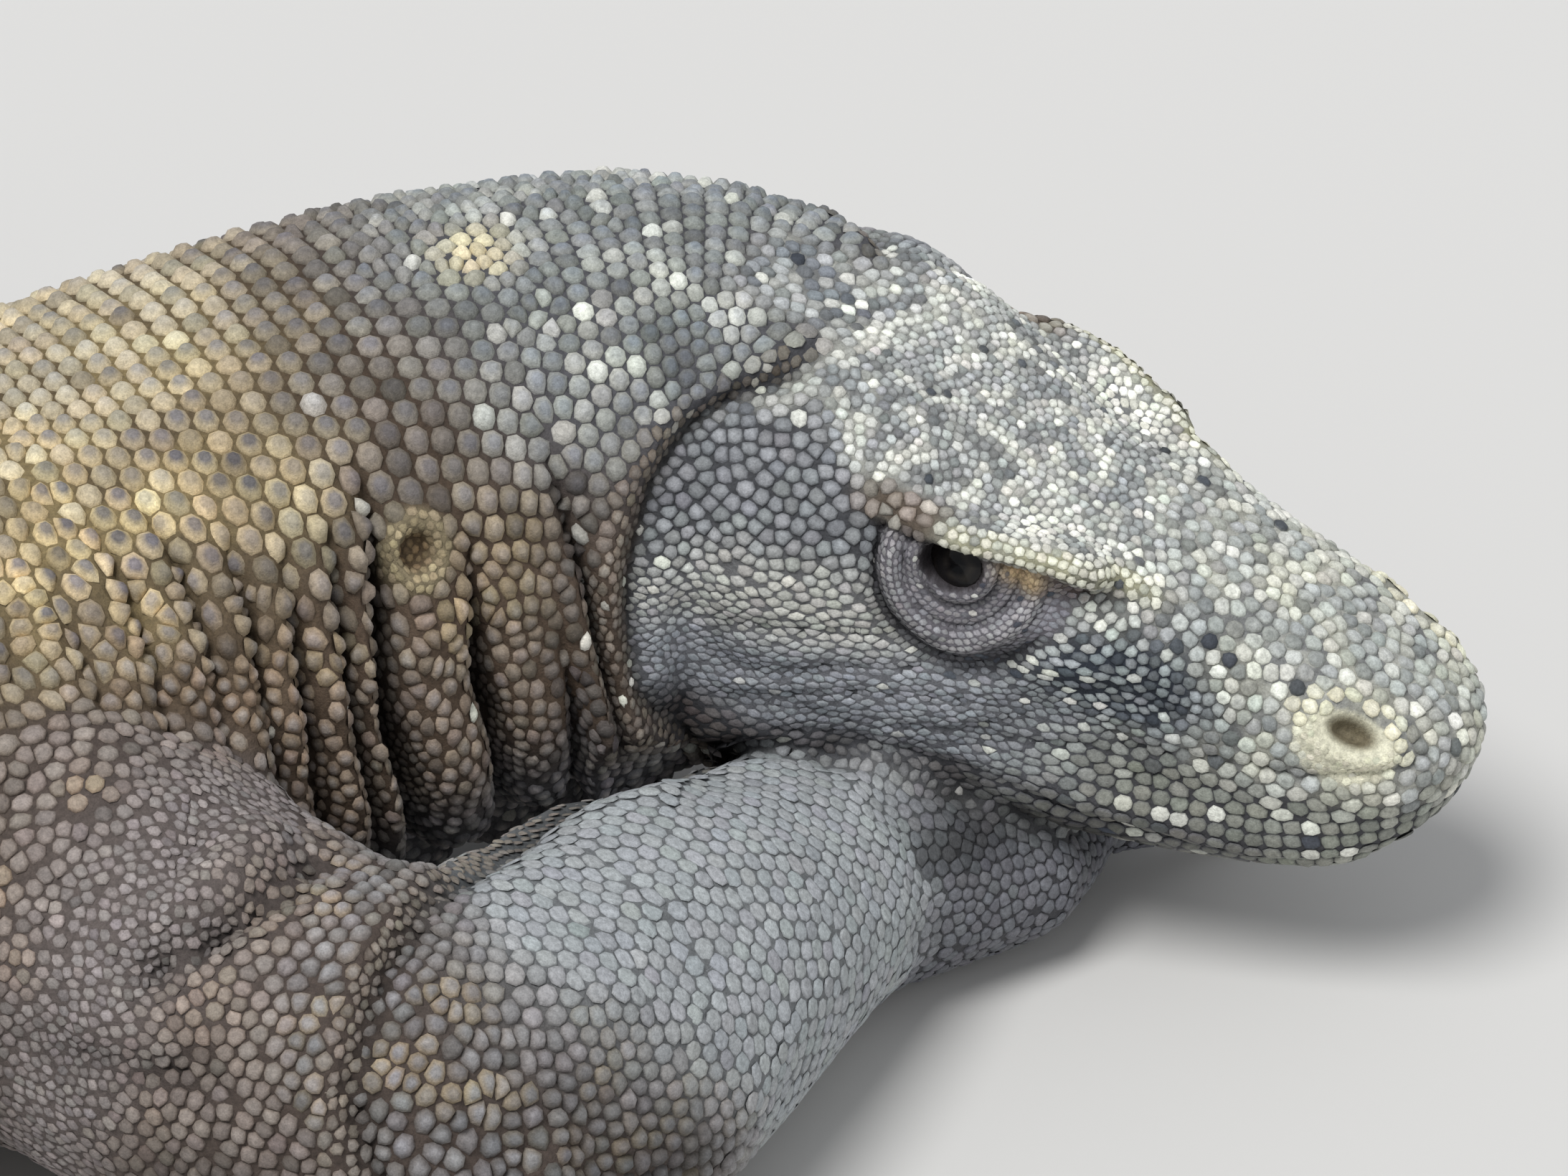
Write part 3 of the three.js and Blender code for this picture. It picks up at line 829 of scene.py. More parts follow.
def kept_clear(points, out, faces, lifted):
    """Holds the raised skin short of the skin across from it, such as the throat from the forearm."""
    tree = tree_of(points, faces)
    lifted = lifted.copy()
    for i in np.flatnonzero(lifted > 0.8):
        reach = 2 * lifted[i] + CLEARANCE
        distance = tree.ray_cast(points[i] + 0.5 * out[i], out[i], reach)[3]
        if distance is not None:
            lifted[i] = min(lifted[i], max((distance + 0.5 - CLEARANCE) / 2, 0))
    return lifted


def fold(points, faces, near, spread, spots):
    """Takes the skin in by the scales' depth and lays its folds."""
    at = Places(points, near, spread)
    lifted = neck_folds(at) + head_folds(at, spots) + limb_folds(at) + trunk_folds(at) - SCALE_DEPTH
    smooth = spread.soften(points, 8)
    out = unit(spread.soften(normals_of(smooth, faces), 6))
    lifted = kept_clear(points, out, faces, lifted)
    moved = points + out * lifted[:, None]
    moved[:, 2] = np.maximum(moved[:, 2], np.minimum(points[:, 2] + SCALE_DEPTH, SCALE_DEPTH))
    return moved, at


FINEST_WITHIN = {"eye": 14, "nostril": 10, "ear": 10}


def longest_edge(middles, spots):
    """How long the skin's edges may be at each place: shortest round eyes, nostrils and ears."""
    limit = np.full(len(middles), 99.0)
    spine, angle, radius, _ = SPINE.coordinates(middles)
    neck = (spine > 40) & (spine < 235) & (np.abs(angle) > 25) & (radius < 110)
    limit[neck & (angle > 0)] = 1.8
    limit[neck & (angle < 0)] = 3.6
    limit[(head_coordinates(middles)[0] < 190) & (spine < 70)] = 2.9
    along, angle, radius, _ = LIMBS["front_right"].coordinates(middles)
    arm = (radius < 62) & (spine > 40) & (middles[:, 2] > 20)
    limit[arm & (along > 40) & (along < 190)] = 3.4
    limit[arm & (along > 52) & (along < 104) & (np.abs(angle + 16) < 46)] = 2.0
    for (kind, _), spot in spots.items():
        distance = np.linalg.norm(middles - spot.at, axis=1)
        limit[distance < 24] = 1.7
        limit[distance < FINEST_WITHIN[kind]] = 1.05
    return limit


def refine(points, faces, spots):
    """Cuts the skin's long edges in two rounds, and eases it along its own surface."""
    for slack in (1.4, 1.0):
        too_long = lambda middles, lengths: lengths > slack * longest_edge(middles, spots)
        points, faces = divided(points, faces, too_long)
    tree = tree_of(points, faces)
    eased = Smoother(faces, len(points)).soften(points, 4)
    return np.array([tree.find_nearest(point)[0] for point in eased.tolist()]), faces


# ---- Colours and the make of the scales, point by point over the skin ----

def srgb(*values):
    c = np.array(values) / 255
    return np.where(c <= 0.04045, c / 12.92, ((c + 0.055) / 1.055) ** 2.4)


CLAY = srgb(158, 148, 132)
EARTH = srgb(112, 102, 90)
BARK = srgb(96, 80, 66)
OCHRE = srgb(218, 194, 142)
STRAW = srgb(228, 216, 180)
TEMPLE_GREY = srgb(142, 144, 147)
CHEEK_GREY = srgb(158, 162, 168)
DUSK = srgb(94, 94, 98)
ARM_GREY = srgb(172, 176, 178)
CREAM = srgb(240, 240, 228)
BONE = srgb(238, 236, 214)
INK = srgb(60, 66, 76)
LID_GREY = srgb(142, 142, 148)
LIP = srgb(164, 166, 156)
TAN = srgb(178, 156, 122)
EAR_RIM = srgb(160, 146, 116)
FOOT_GREY = srgb(118, 119, 124)


class Coat:
    """What the scales are like at each point: their colours, size and form."""

    PLAIN = dict(
        size=7.8,
        stretch=1.1,  # length over width
        tall=0.28,  # height over size
        keel=0.5,
        gap=0.05,
        varied=0.10,  # how much neighbours differ in lightness
        rows=1.0,  # 1 where the scales stand in rings, 0 where they are strewn
        bead=0.3,  # 0 for a flat tile, 1 for a round bead with a low skirt
        heart=0.0,  # how much darker the crest is than the slopes
        dark=0.0,  # the share of scales that are ink dark
        pale=0.0,  # the share that are cream
    )

    def __init__(self, count):
        self.top = np.tile(CLAY, (count, 1))
        self.rim = np.tile(EARTH, (count, 1))
        self.skin = np.tile(EARTH * 0.5, (count, 1))  # the skin between the scales
        for key, value in self.PLAIN.items():
            setattr(self, key, np.full(count, value))

    def mix(self, share, **values):
        """Moves each named trait to its value, by the share at each point. A tuple is an sRGB colour."""
        for key, value in values.items():
            field = getattr(self, key)
            value = srgb(*value) if isinstance(value, tuple) else value
            part = share[:, None] if field.ndim == 2 else share
            setattr(self, key, field + part * (value - field))

    def shade(self, share, much):
        """Darkens all colours by as much, where the share is 1."""
        light = (1 - much * share)[:, None]
        self.top, self.rim, self.skin = self.top * light, self.rim * light, self.skin * light

    def columns(self):
        plain = np.stack([getattr(self, key) for key in self.PLAIN], 1)
        return np.concatenate([self.top, self.rim, self.skin, plain], 1)


def blotches(points, size, seed, start, end):
    return rise(noise(points, size, seed), start, end)


def coat_of(at, spots):
    """All traits over the skin, the deep folds darkened with painted shade and given the smallest scales."""
    coat = Coat(len(at.points))
    at.body = at.body + at.behind * at.head
    at.head = at.head * (1 - at.behind)
    paint_trunk(coat, at)
    paint_neck(coat, at)
    paint_limbs(coat, at)
    paint_head(coat, at, spots)
    paint_contact_shadow(coat, at)
    # Painted shade in the folds: the neck's pleats, the crease over each leg and in the armpit, the collar
    # fold and the cheek's wrinkles are darkened.
    deep = np.clip(at.pit + 0.8 * at.crook + 0.9 * at.collar + 0.55 * at.wrinkle, 0, 1)
    coat.shade(deep, 0.80)
    coat.mix(deep, size=0.62 * coat.size, tall=0.7 * coat.tall)
    return coat


def paint_contact_shadow(coat, at):
    """Painted contact shadow: forearm and jaw are darkened along the line where they meet."""
    share = np.clip(at.legs["front_right"][0] + at.head, 0, 1)
    line = np.interp(at.back, (70, 110, 150, 175), (-37, -35, -31, -30))
    line = share * hump(at.high, line, 6) * window(at.back, 62, 172, 10) * (np.abs(at.out) < 62)
    coat.shade(np.clip(line, 0, 1), 0.7)


def paint_trunk(coat, at):
    """Clay and earth in soft patches, paler below, with ever smaller keeled scales down the tail."""
    p, body = at.points, at.body
    patch = noise(p, 55, 21) + 0.6 * noise(p, 22, 22)
    coat.mix(rise(patch, 0.1, 0.9) * 0.6, top=STRAW * 0.85, rim=OCHRE * 0.6)
    coat.mix(rise(-patch, 0.1, 0.9) * 0.6, top=EARTH * 1.1, skin=EARTH * 0.4)
    coat.mix(body * rise(at.spine, 700, 1300), top=EARTH * 1.3)
    coat.mix(body * rise(at.around, 110, 140), top=CLAY * 1.15, rim=CLAY * 0.8, tall=0.14, keel=0.0,
             stretch=1.25)
    thin = np.interp(at.radius, (6, 20, 45, 90), (2.8, 4.4, 6.2, 7.8))
    coat.mix(body * rise(at.spine, 560, 760), size=thin, keel=0.8, stretch=1.35)


def paint_neck(coat, at):
    """Beads in rings: slate over the nape, ochre towards the shoulders, brown down the sides."""
    p = at.points
    neck = at.body * (1 - rise(at.spine, 240, 340))
    coat.mix(neck, size=6.2, tall=0.36, keel=0.15, gap=0.0, stretch=0.88, varied=0.20, bead=1.0,
             top=(110, 106, 108), rim=(130, 121, 110), skin=BARK * 0.5, pale=0.004)
    nape = neck * (1 - rise(at.spine + 0.35 * at.around, 84, 128))
    coat.mix(nape, top=(126, 132, 138), rim=(140, 142, 138), skin=DUSK * 0.7, size=5.0, rows=0.5,
             bead=0.9, pale=0.08)
    coat.mix(nape * blotches(p, 7, 27, 0.1, 0.6) * 0.45, rim=CREAM * 0.8, top=CREAM * 0.7, pale=0.3)
    gold = rise(at.spine - 0.35 * np.maximum(at.angle, 0) + 18 * noise(p, 24, 23), 104, 166)
    gold = neck * gold * (1 - 0.5 * rise(at.around, 50, 84))
    coat.mix(gold * (0.40 + 0.60 * blotches(p, 12, 24, -0.35, 0.35)), rim=(212, 192, 150),
             skin=OCHRE * 0.28)
    coat.mix(gold * blotches(p, 9, 28, 0.1, 0.6) * 0.75, top=(206, 196, 168), rim=STRAW * 0.95)
    bleached = neck * rise(at.spine, 116, 150) * (1 - rise(at.angle, -4, 26))
    coat.mix(bleached * (0.4 + 0.4 * blotches(p, 10, 43, -0.3, 0.4)), top=(182, 177, 164),
             rim=(192, 182, 158))
    patch = neck * window(at.spine, 78, 90, 5) * window(at.angle, -8, 9, 5)
    coat.mix(patch * 0.9, top=STRAW * 1.05, rim=STRAW)
    flank = neck * rise(at.around, 46, 76)
    coat.mix(flank * 0.8, top=(148, 138, 129), rim=(134, 119, 104), skin=BARK * 0.8, size=5.6)
    coat.mix(flank * (1 - rise(at.spine, 84, 108)), top=(104, 98, 94), rim=(92, 84, 79), size=4.4)
    coat.mix(flank * blotches(p, 16, 25, -0.1, 0.5) * 0.4, rim=OCHRE * 0.66, top=(158, 142, 116))
    coat.mix(flank * rise(at.spine, 142, 176), keel=0.6, top=(146, 136, 128), rim=(134, 114, 94),
             size=4.1)
    low = neck * rise(at.around, 100, 128) * window(at.spine, 20, 190, 20)
    coat.mix(low * 0.9, top=(190, 184, 182), rim=DUSK * 1.9, skin=DUSK * 1.1)
    pleated = neck * rise(at.around, 60, 96) * window(at.spine, 40, 185, 20)
    coat.mix(pleated, size=3.7, tall=0.22, keel=0.1)


def paint_arm(coat, at, share, along, facing):
    """Smooth grey hexagons on the forearm, coarse beads before them, rust over the elbow, painted shade on
    the side that faces out and down and at the elbow.
    """
    p = at.points
    down = along - 0.5 * facing
    smooth = rise(down, 100, 142)
    coat.mix(share * smooth, top=ARM_GREY * 0.89, rim=ARM_GREY * 0.76, skin=ARM_GREY * 0.36, tall=0.07,
             keel=0.0, size=5.2, gap=0.012, varied=0.055, bead=0.0, rows=0.5)
    coarse = share * rise(down, 74, 90) * (1 - smooth)
    coat.mix(coarse, top=(140, 139, 140), rim=(112, 107, 104), tall=0.32, keel=0.5, bead=0.8, size=4.8)
    coat.mix(coarse * blotches(p, 8, 42, 0.0, 0.6), rim=(160, 144, 118))
    rusty = share * (1 - rise(along, 70, 100)) * blotches(p, 12, 26, -0.1, 0.4)
    coat.mix(rusty * 0.8, top=(160, 138, 110), rim=(140, 112, 82))
    # Painted shade: the side of the arm that faces out and down, and the elbow, are darkened.
    underside_shade = share * rise(facing, 60, 100) * (1 - rise(along, 150, 178)) + 0.55 * hump(along, 139, 18) * share
    underside_shade = (np.clip(underside_shade, 0, 1) * rise(facing, 24, 56))[:, None]
    coat.top, coat.rim = coat.top * (1 - 0.6 * underside_shade), coat.rim * (1 - 0.6 * underside_shade)


def paint_limbs(coat, at):
    """Brown grey legs with fine granules where they fold, and small dark scales on the feet."""
    for leg, (share, along, angle, _, _) in at.legs.items():
        share = np.clip(share, 0, 1)
        coat.mix(share, top=(138, 128, 121), rim=(118, 106, 97), skin=(74, 64, 58), size=4.4, tall=0.22,
                 keel=0.3, stretch=0.95, gap=0.0, bead=0.3, varied=0.16)
        if leg == "front_right":
            paint_arm(coat, at, share, along, -angle)
        crook = share * hump(along, 64, 20)
        coat.mix(crook, size=2.4, tall=0.11, keel=0.0, bead=0.0, stretch=1.3, top=(138, 131, 129),
                 rim=(118, 110, 107), skin=(92, 84, 81))
        coat.mix(share * rise(along, 190, 262), size=4.2, keel=0.1)
    foot = rise(at.foot + 0.12 * noise(at.points, 9, 43), 0.15, 0.85)
    coat.mix(foot, size=3.2, tall=0.16, keel=0.0, top=FOOT_GREY * 0.9, rim=FOOT_GREY * 0.7,
             skin=DUSK * 0.55, rows=0)
    warm = foot * (1 - np.clip(at.legs["front_right"][0], 0, 1))
    coat.mix(warm, top=(108, 103, 99), rim=(88, 82, 78), skin=(58, 54, 52))


def paint_crown(coat, at):
    """Small tiles, grey with drifts of cream, larger and darker towards the neck."""
    p, head = at.points, at.head
    coat.mix(head, rows=0, top=(172, 175, 174), rim=(152, 154, 152), skin=(118, 119, 118), size=2.3,
             stretch=1.0, tall=0.26, keel=0.0, gap=0.01, varied=0.22, bead=0.5)
    coat.mix(head * rise(at.back, 138, 168), top=(130, 135, 141), rim=(118, 122, 126), size=3.4)
    coat.mix(head * blotches(p, 17, 32, 0.1, 0.6) * 0.6, top=(136, 141, 146), rim=(120, 124, 128))
    flecks = 0.7 * blotches(p, 4, 31, 0.0, 0.5) + 0.3 * blotches(p, 11, 38, 0.0, 0.5)
    coat.mix(head * flecks, top=CREAM, rim=CREAM * 0.85, skin=CREAM * 0.5)
    coat.mix(head, pale=0.06 + 0.3 * blotches(p, 14, 39, 0.0, 0.6),
             dark=0.01 + 0.10 * blotches(p, 9, 40, 0.1, 0.6))


def paint_cheek(coat, at, out):
    """The bulge of the jaw muscle and the cheek, pale above, with painted shade towards the corner of the
    jaw.
    """
    head, back, high = at.head, at.back, at.high
    ridge = np.interp(back, (60, 95, 128, 140, 156, 175), (8, 24, 33, 42, 51, 47))
    side = head * rise(ridge - high, 0, 4) * rise(out, 20, 30)
    temple = side * rise(back, 116, 130)
    coat.mix(temple, top=TEMPLE_GREY * 1.1, rim=(112, 114, 117), skin=(66, 67, 70), size=3.5, tall=0.24,
             varied=0.10, gap=0.01, stretch=1.1, bead=0.5)
    coat.mix(side, pale=0.02, dark=0.0)
    cheek = side * (1 - rise(high, 8, 24)) * rise(back, 50, 80)
    coat.mix(cheek, top=CHEEK_GREY, rim=(148, 150, 153), skin=(112, 113, 117), size=2.2, stretch=1.8,
             tall=0.12, varied=0.09, gap=0.0, bead=0.0)
    coat.mix(cheek * rise(high, 0, 14), top=(210, 210, 202), rim=(186, 186, 178), pale=0.08)
    pale = side * window(high, 3, 24, 6) * window(back, 118, 168, 12)
    coat.mix(pale * 0.85, top=(198, 198, 190), rim=(164, 164, 157), skin=(112, 112, 112), size=2.7)
    # Painted shade on the lower cheek.
    shady = cheek * (1 - rise(high, -18, -2))
    coat.mix(shady * 0.6, top=CHEEK_GREY * 0.66, rim=(118, 120, 124), skin=(84, 85, 90))
    # Painted shade under the jaw and its corner, with finer scales.
    level = np.interp(back, (100, 140, 175), (-22, -18, -10))
    under = head * rise(back, 84, 110) * (1 - rise(high - level, -6, 3))
    coat.mix(under, top=(84, 78, 76), rim=(62, 57, 56), skin=DUSK * 0.25, size=2.8, stretch=1.8,
             pale=0.02)


def paint_snout(coat, at, out):
    """Large pale beads with dark hearts, and a blue-black blotch before the eye."""
    p, head, back, high = at.points, at.head, at.back, at.high
    snout = head * (1 - rise(back, 62, 92))
    coat.mix(snout, size=3.6, tall=0.26, gap=0.015, top=(174, 178, 176), rim=(152, 155, 151), varied=0.20,
             bead=0.55, pale=0.14, dark=0.01 + 0.16 * blotches(p, 8, 41, 0.1, 0.6))
    coat.mix(snout * blotches(p, 8, 34, -0.15, 0.35) * 0.5, top=BONE * 0.92, rim=BONE * 0.8,
             skin=BONE * 0.4)
    coat.mix(snout * rise(out, 12, 22) * window(back, 26, 70, 8) * rise(high, -14, -4), heart=0.5)
    blotch = np.clip(1.6 * head * hump(back, 75, 20) * hump(high, 9, 12) * rise(out, 14, 24), 0, 1)
    coat.mix(blotch, size=2.8, top=(172, 180, 180), rim=(122, 127, 130), skin=INK * 0.7, dark=0.5,
             pale=0.12)


def paint_jaw(coat, at, out):
    """Shields on the lips, a grey chin, the cream ridge from brow to nostril and the skin in the collar."""
    p, head, back, high = at.points, at.head, at.back, at.high
    lips = head * (1 - rise(high, -12, -2)) * (1 - rise(back, 60, 110))
    coat.mix(lips, top=LIP * 0.76, rim=(114, 116, 110), skin=DUSK * 0.5, size=4.2, stretch=1.2, tall=0.13,
             gap=0.02, varied=0.12, bead=0.1, heart=0.0)
    chin = head * (1 - rise(high, -29, -18)) * (1 - rise(back, 84, 110)) * rise(back, 20, 50)
    coat.mix(chin, top=(118, 118, 112), rim=DUSK, skin=DUSK * 0.5, size=3.8)
    level = np.interp(back, (30, 80, 110), (20, 30, 38))
    canthus = head * hump(out, 30, 8) * hump(high, level, 6) * window(back, 36, 108, 8)
    coat.mix(np.clip(canthus * 1.3, 0, 1) * blotches(p, 9, 36, -0.5, 0.2), top=CREAM, rim=CREAM * 0.86)
    coat.mix(at.strip, size=2.8, tall=0.14, top=(150, 142, 132), rim=(116, 104, 92))


def paint_head(coat, at, spots):
    """The head from the crown down, then eyes, nostrils and ears over it."""
    out = np.abs(at.out)
    paint_crown(coat, at)
    paint_cheek(coat, at, out)
    paint_snout(coat, at, out)
    paint_jaw(coat, at, out)
    for side in SIDES:
        paint_eye(coat, at, spots["eye", side])
        paint_nostril(coat, at, spots["nostril", side])
        paint_ear(coat, at, spots["ear", side])


def paint_eye(coat, at, spot):
    """Grey lids with painted shade in their creases, a bone-white brow with painted shadow under it, painted
    shade in the socket and tan skin at the corner.
    """
    x, y, distance = spot.flat(at.points)
    brow = below_brow(x, y)
    close = at.head * (1 - rise(distance, 34, 40))
    below = close * (1 - rise(brow, -1.0, 0.4))
    around = round_eye(x, y)
    lids = below * (1 - rise(round_lids(x, y), CRESCENT, CRESCENT + 2.3))
    coat.mix(lids, top=LID_GREY, rim=(118, 118, 124), skin=(106, 103, 108), size=1.7, tall=0.09,
             stretch=1.5, gap=0.0, varied=0.10, bead=0.2, heart=0.0, pale=0.02)
    coat.mix(lids * (1 - rise(around, 11, 15)), size=1.5, top=(150, 146, 148))
    coat.mix(lids * hump(around, 17.0, 2.6), top=(176, 174, 174), rim=(140, 138, 140))
    first, second, third = LID_CREASES
    creased = 0.65 * crease(around - first, 0.6) + 0.5 * crease(around - second, 0.6)
    crease_shade = 0.9 * crescent_of(x, y) + below * creased
    crease_shade = np.clip(crease_shade + 0.4 * below * crease(around - third, 0.5), 0, 1) * close
    # Painted shade in the creases of the lids and the crescent fold round them.
    coat.mix(crease_shade, top=LID_GREY * 0.16, rim=LID_GREY * 0.13, skin=LID_GREY * 0.1)
    long = at.head * (1 - rise(distance, 46, 54))
    ledge = long * window(x, -40, 6, 6) * window(brow, 0.2, 4.4, 0.8)
    ledge *= 0.6 + 0.4 * blotches(at.points, 4, 37, -0.3, 0.2)
    rear = long * window(x, 6, 26, 5) * window(brow, 0.0, 7.0, 1.5)
    coat.mix(rear, top=(160, 150, 140), rim=(124, 112, 100), skin=(86, 76, 66), size=3.6, pale=0.1)
    coat.mix(ledge, top=BONE * 0.94, rim=(204, 202, 180), skin=(150, 148, 124), size=2.3, tall=0.16,
             varied=0.06, heart=0.0)
    # Painted shade on the skin just inside the gap between the lids.
    socket = below * (1 - rise(in_gap(x, y), 1.02, 1.16))
    coat.mix(socket, top=(70, 66, 68), rim=(58, 54, 56), skin=(50, 46, 48))
    shadow = close * hump(brow, -0.8, 1.3) * window(x, -34, 24, 5)
    coat.mix(shadow * 0.75, top=(60, 56, 54), rim=(50, 46, 44), skin=(40, 37, 36))
    corner = below * hump(x, -13, 4.5) * hump(y, 0.3, 2.8)
    corner = np.clip(corner * 1.5, 0, 1)
    coat.mix(corner, top=TAN * 1.25, rim=TAN * 1.1, skin=TAN * 0.9, size=1.3, tall=0.06, pale=0.0)
    inner = below * hump(x, -23, 6) * hump(y, 0.2, 2.4)
    coat.mix(inner, top=(110, 98, 90), skin=(70, 60, 56))


def paint_nostril(coat, at, spot):
    """Bone-white beads, a smooth rim of the same colour and painted shade in the pit."""
    x, y, distance = spot.flat(at.points)
    close = at.head * (1 - rise(distance, 15, 18))
    ring = np.hypot(x / NOSTRIL[0], y / NOSTRIL[1])
    coat.mix(close * (1 - rise(ring, 1.7, 2.4)), top=BONE, rim=(212, 208, 182), size=3.6, varied=0.08,
             heart=0.0, dark=0.0, pale=0.0)
    smooth = srgb(212, 209, 186)
    rim = close * (1 - rise(ring + 0.10 * y, 1.25, 1.6))
    coat.mix(rim, size=1.6, tall=0.06, skin=smooth, top=smooth, rim=smooth * 0.9)
    # Painted shade at the bottom of the pit.
    coat.mix(close * (1 - rise(ring, 0.55, 1.0)), skin=(112, 104, 84), top=(120, 112, 90))


def paint_ear(coat, at, spot):
    """Straw-brown granules round a hole darkened with painted shade."""
    x, y, distance = spot.flat(at.points)
    close = 1 - rise(distance, 14, 17)
    ring = np.hypot(x / EAR[0], y / EAR[1])
    coat.mix(close * (1 - rise(ring, 1.6, 2.3)), size=1.9, tall=0.10, rows=0, bead=0.3, top=EAR_RIM,
             rim=EAR_RIM * 0.75, skin=EAR_RIM * 0.55)
    # Painted shade in the hole.
    coat.mix(close * (1 - rise(ring, 0.7, 1.1)), skin=(82, 68, 50), top=(120, 102, 76), rim=(90, 76, 56))


# ---- Where the scales stand ----

TRAITS = {name: 9 + i for i, name in enumerate(Coat.PLAIN)}  # their columns, which follow three colours
HEXAGON = 0.866  # its area over the square of its width


def surface_samples(points, faces, size, rng, share):
    """Random places on the skin, with as many as a coat of scales of the local size needs, times share."""
    a, b, c = points[faces].transpose(1, 0, 2)
    area = np.linalg.norm(np.cross(b - a, c - a), axis=1) / 2
    wanted = area * share / (HEXAGON * size[faces].mean(1) ** 2)
    count = np.floor(wanted + rng.random(len(faces))).astype(int)
    face = np.repeat(np.arange(len(faces)), count)
    u, v = rng.random((2, len(face)))
    flip = u + v > 1
    u, v = np.where(flip, 1 - u, u), np.where(flip, 1 - v, v)
    return face, np.stack([1 - u - v, u, v], 1)


ROW_SPACING = 0.9  # between rings of scales, over the scale's size
RING_SPACING = 0.96  # between neighbours in a ring


def ring_seeds(axis, tree, reach, start, end, size_at):
    """Places in rings round an axis, each ring turned half a scale against the last."""
    seeds, along, odd = [], start, 0
    while along < end:
        i = min(np.searchsorted(axis.at, along), len(axis.at) - 1)
        centre, right, up = axis.points[i], axis.right[i], axis.up[i]
        probe = tree.ray_cast(centre, up)[0] or tree.ray_cast(centre, right)[0]
        radius = 20.0 if probe is None else float(np.linalg.norm(np.array(probe) - centre))
        size = size_at(along, radius)
        count = max(6, int(round(2 * math.pi * radius / (RING_SPACING * size))))
        for k in range(count):
            turn = 2 * math.pi * (k + 0.5 * odd) / count
            hit = tree.ray_cast(centre, math.sin(turn) * right + math.cos(turn) * up, reach)
            if hit[0] is not None:
                seeds.append((*hit[0], hit[2]))
        along += size * ROW_SPACING
        odd = 1 - odd
    return seeds


def spaced(found, spacing):
    """Every place of a dense row that is at least the spacing from the last one kept."""
    kept = []
    for place, face in found:
        if not kept or np.linalg.norm(np.array(place) - kept[-1][:3]) >= spacing:
            kept.append((*place, face))
    return kept


LIP_ROWS = (2.4, 6.6, 10.8, -2.7, -6.9)  # heights above the closed mouth


def lip_seeds(tree, side):
    """Rows of shields along the lips, from near the corner of the mouth round to the tip of the snout."""
    seeds = []
    for gap in LIP_ROWS:
        found = []
        for step in np.arange(0, 1, 0.002):
            back = 118 - step * 98 * 1.25
            turn = math.radians(np.interp(back, (-4.5, 20), (90, 0)))
            back = max(back, 20)
            way = math.cos(turn) * side * HEAD_LEFT + math.sin(turn) * HEAD_AHEAD
            high = on_line(MOUTH, back) + gap
            for _ in range(3):
                hit = tree.ray_cast(on_head(back, 0, high), way, 90)
                if hit[0] is None:
                    break
                there = float(head_coordinates(np.array([hit[0]]))[0][0])
                high = on_line(MOUTH, there) + gap
            if hit[0] is not None:
                found.append((hit[0], hit[2]))
        seeds += spaced(found, 4.1)
    return seeds


def brow_seeds(tree, spot):
    """Two rows of small scales along the edge of the brow."""
    seeds = []
    for gap in (1.4, 3.6):
        found = []
        for x in np.arange(-27, 6, 0.2):
            found += spot.skin_at(tree, x, gap - below_brow(x, 0.0))
        seeds += spaced(found, 2.3)
    return seeds


def lid_seeds(tree, spot):
    """Rows of tiny scales round the eye, below the brow."""
    seeds = []
    for radius in np.arange(7.6, 22.0, 1.4):
        found = []
        for turn in np.arange(0, 2 * math.pi, 0.15 / radius):
            x, y = 0.5 + 0.95 * radius * math.cos(turn), 1.15 * radius * math.sin(turn) - 1.0
            if below_brow(x, y) <= -0.6:
                found += spot.skin_at(tree, x, y)
        seeds += spaced(found, 1.75)
    return seeds


def barycentric(places, corners):
    """The shares of a triangle's corners in each place on it."""
    a, b, c = corners
    ab, ac, ap = b - a, c - a, places - a
    d00, d01, d11 = (ab * ab).sum(1), (ab * ac).sum(1), (ac * ac).sum(1)
    d20, d21 = (ap * ab).sum(1), (ap * ac).sum(1)
    whole = np.maximum(d00 * d11 - d01 * d01, 1e-9)
    v, w = (d11 * d20 - d01 * d21) / whole, (d00 * d21 - d01 * d20) / whole
    weights = np.clip(np.stack([1 - v - w, v, w], 1), 0, 1)
    return weights / weights.sum(1, keepdims=True)


def finder_of(place):
    """A tree that finds the places near a point."""
    finder = KDTree(len(place))
    for i, point in enumerate(place.tolist()):
        finder.insert(point, i)
    finder.balance()
    return finder


def spread_out(place, reach, order):
    """Greedy choice of the places, in the given order, so that no two are closer than their reach."""
    finder = finder_of(place)
    alive = np.ones(len(place), bool)
    chosen = []
    points, reach = place.tolist(), reach.tolist()
    for i in order.tolist():
        if alive[i]:
            chosen.append(i)
            for _, j, _ in finder.find_range(points[i], reach[i]):
                alive[j] = False
    return np.array(chosen)


def neighbours_of(place, count):
    """For each place the numbers of its nearest others."""
    finder = finder_of(place)
    found = np.zeros((len(place), count), np.int64)
    for i, point in enumerate(place.tolist()):
        near = finder.find_n(point, count + 1)
        found[i, :len(near) - 1] = [n[1] for n in near[1:]]
    return found


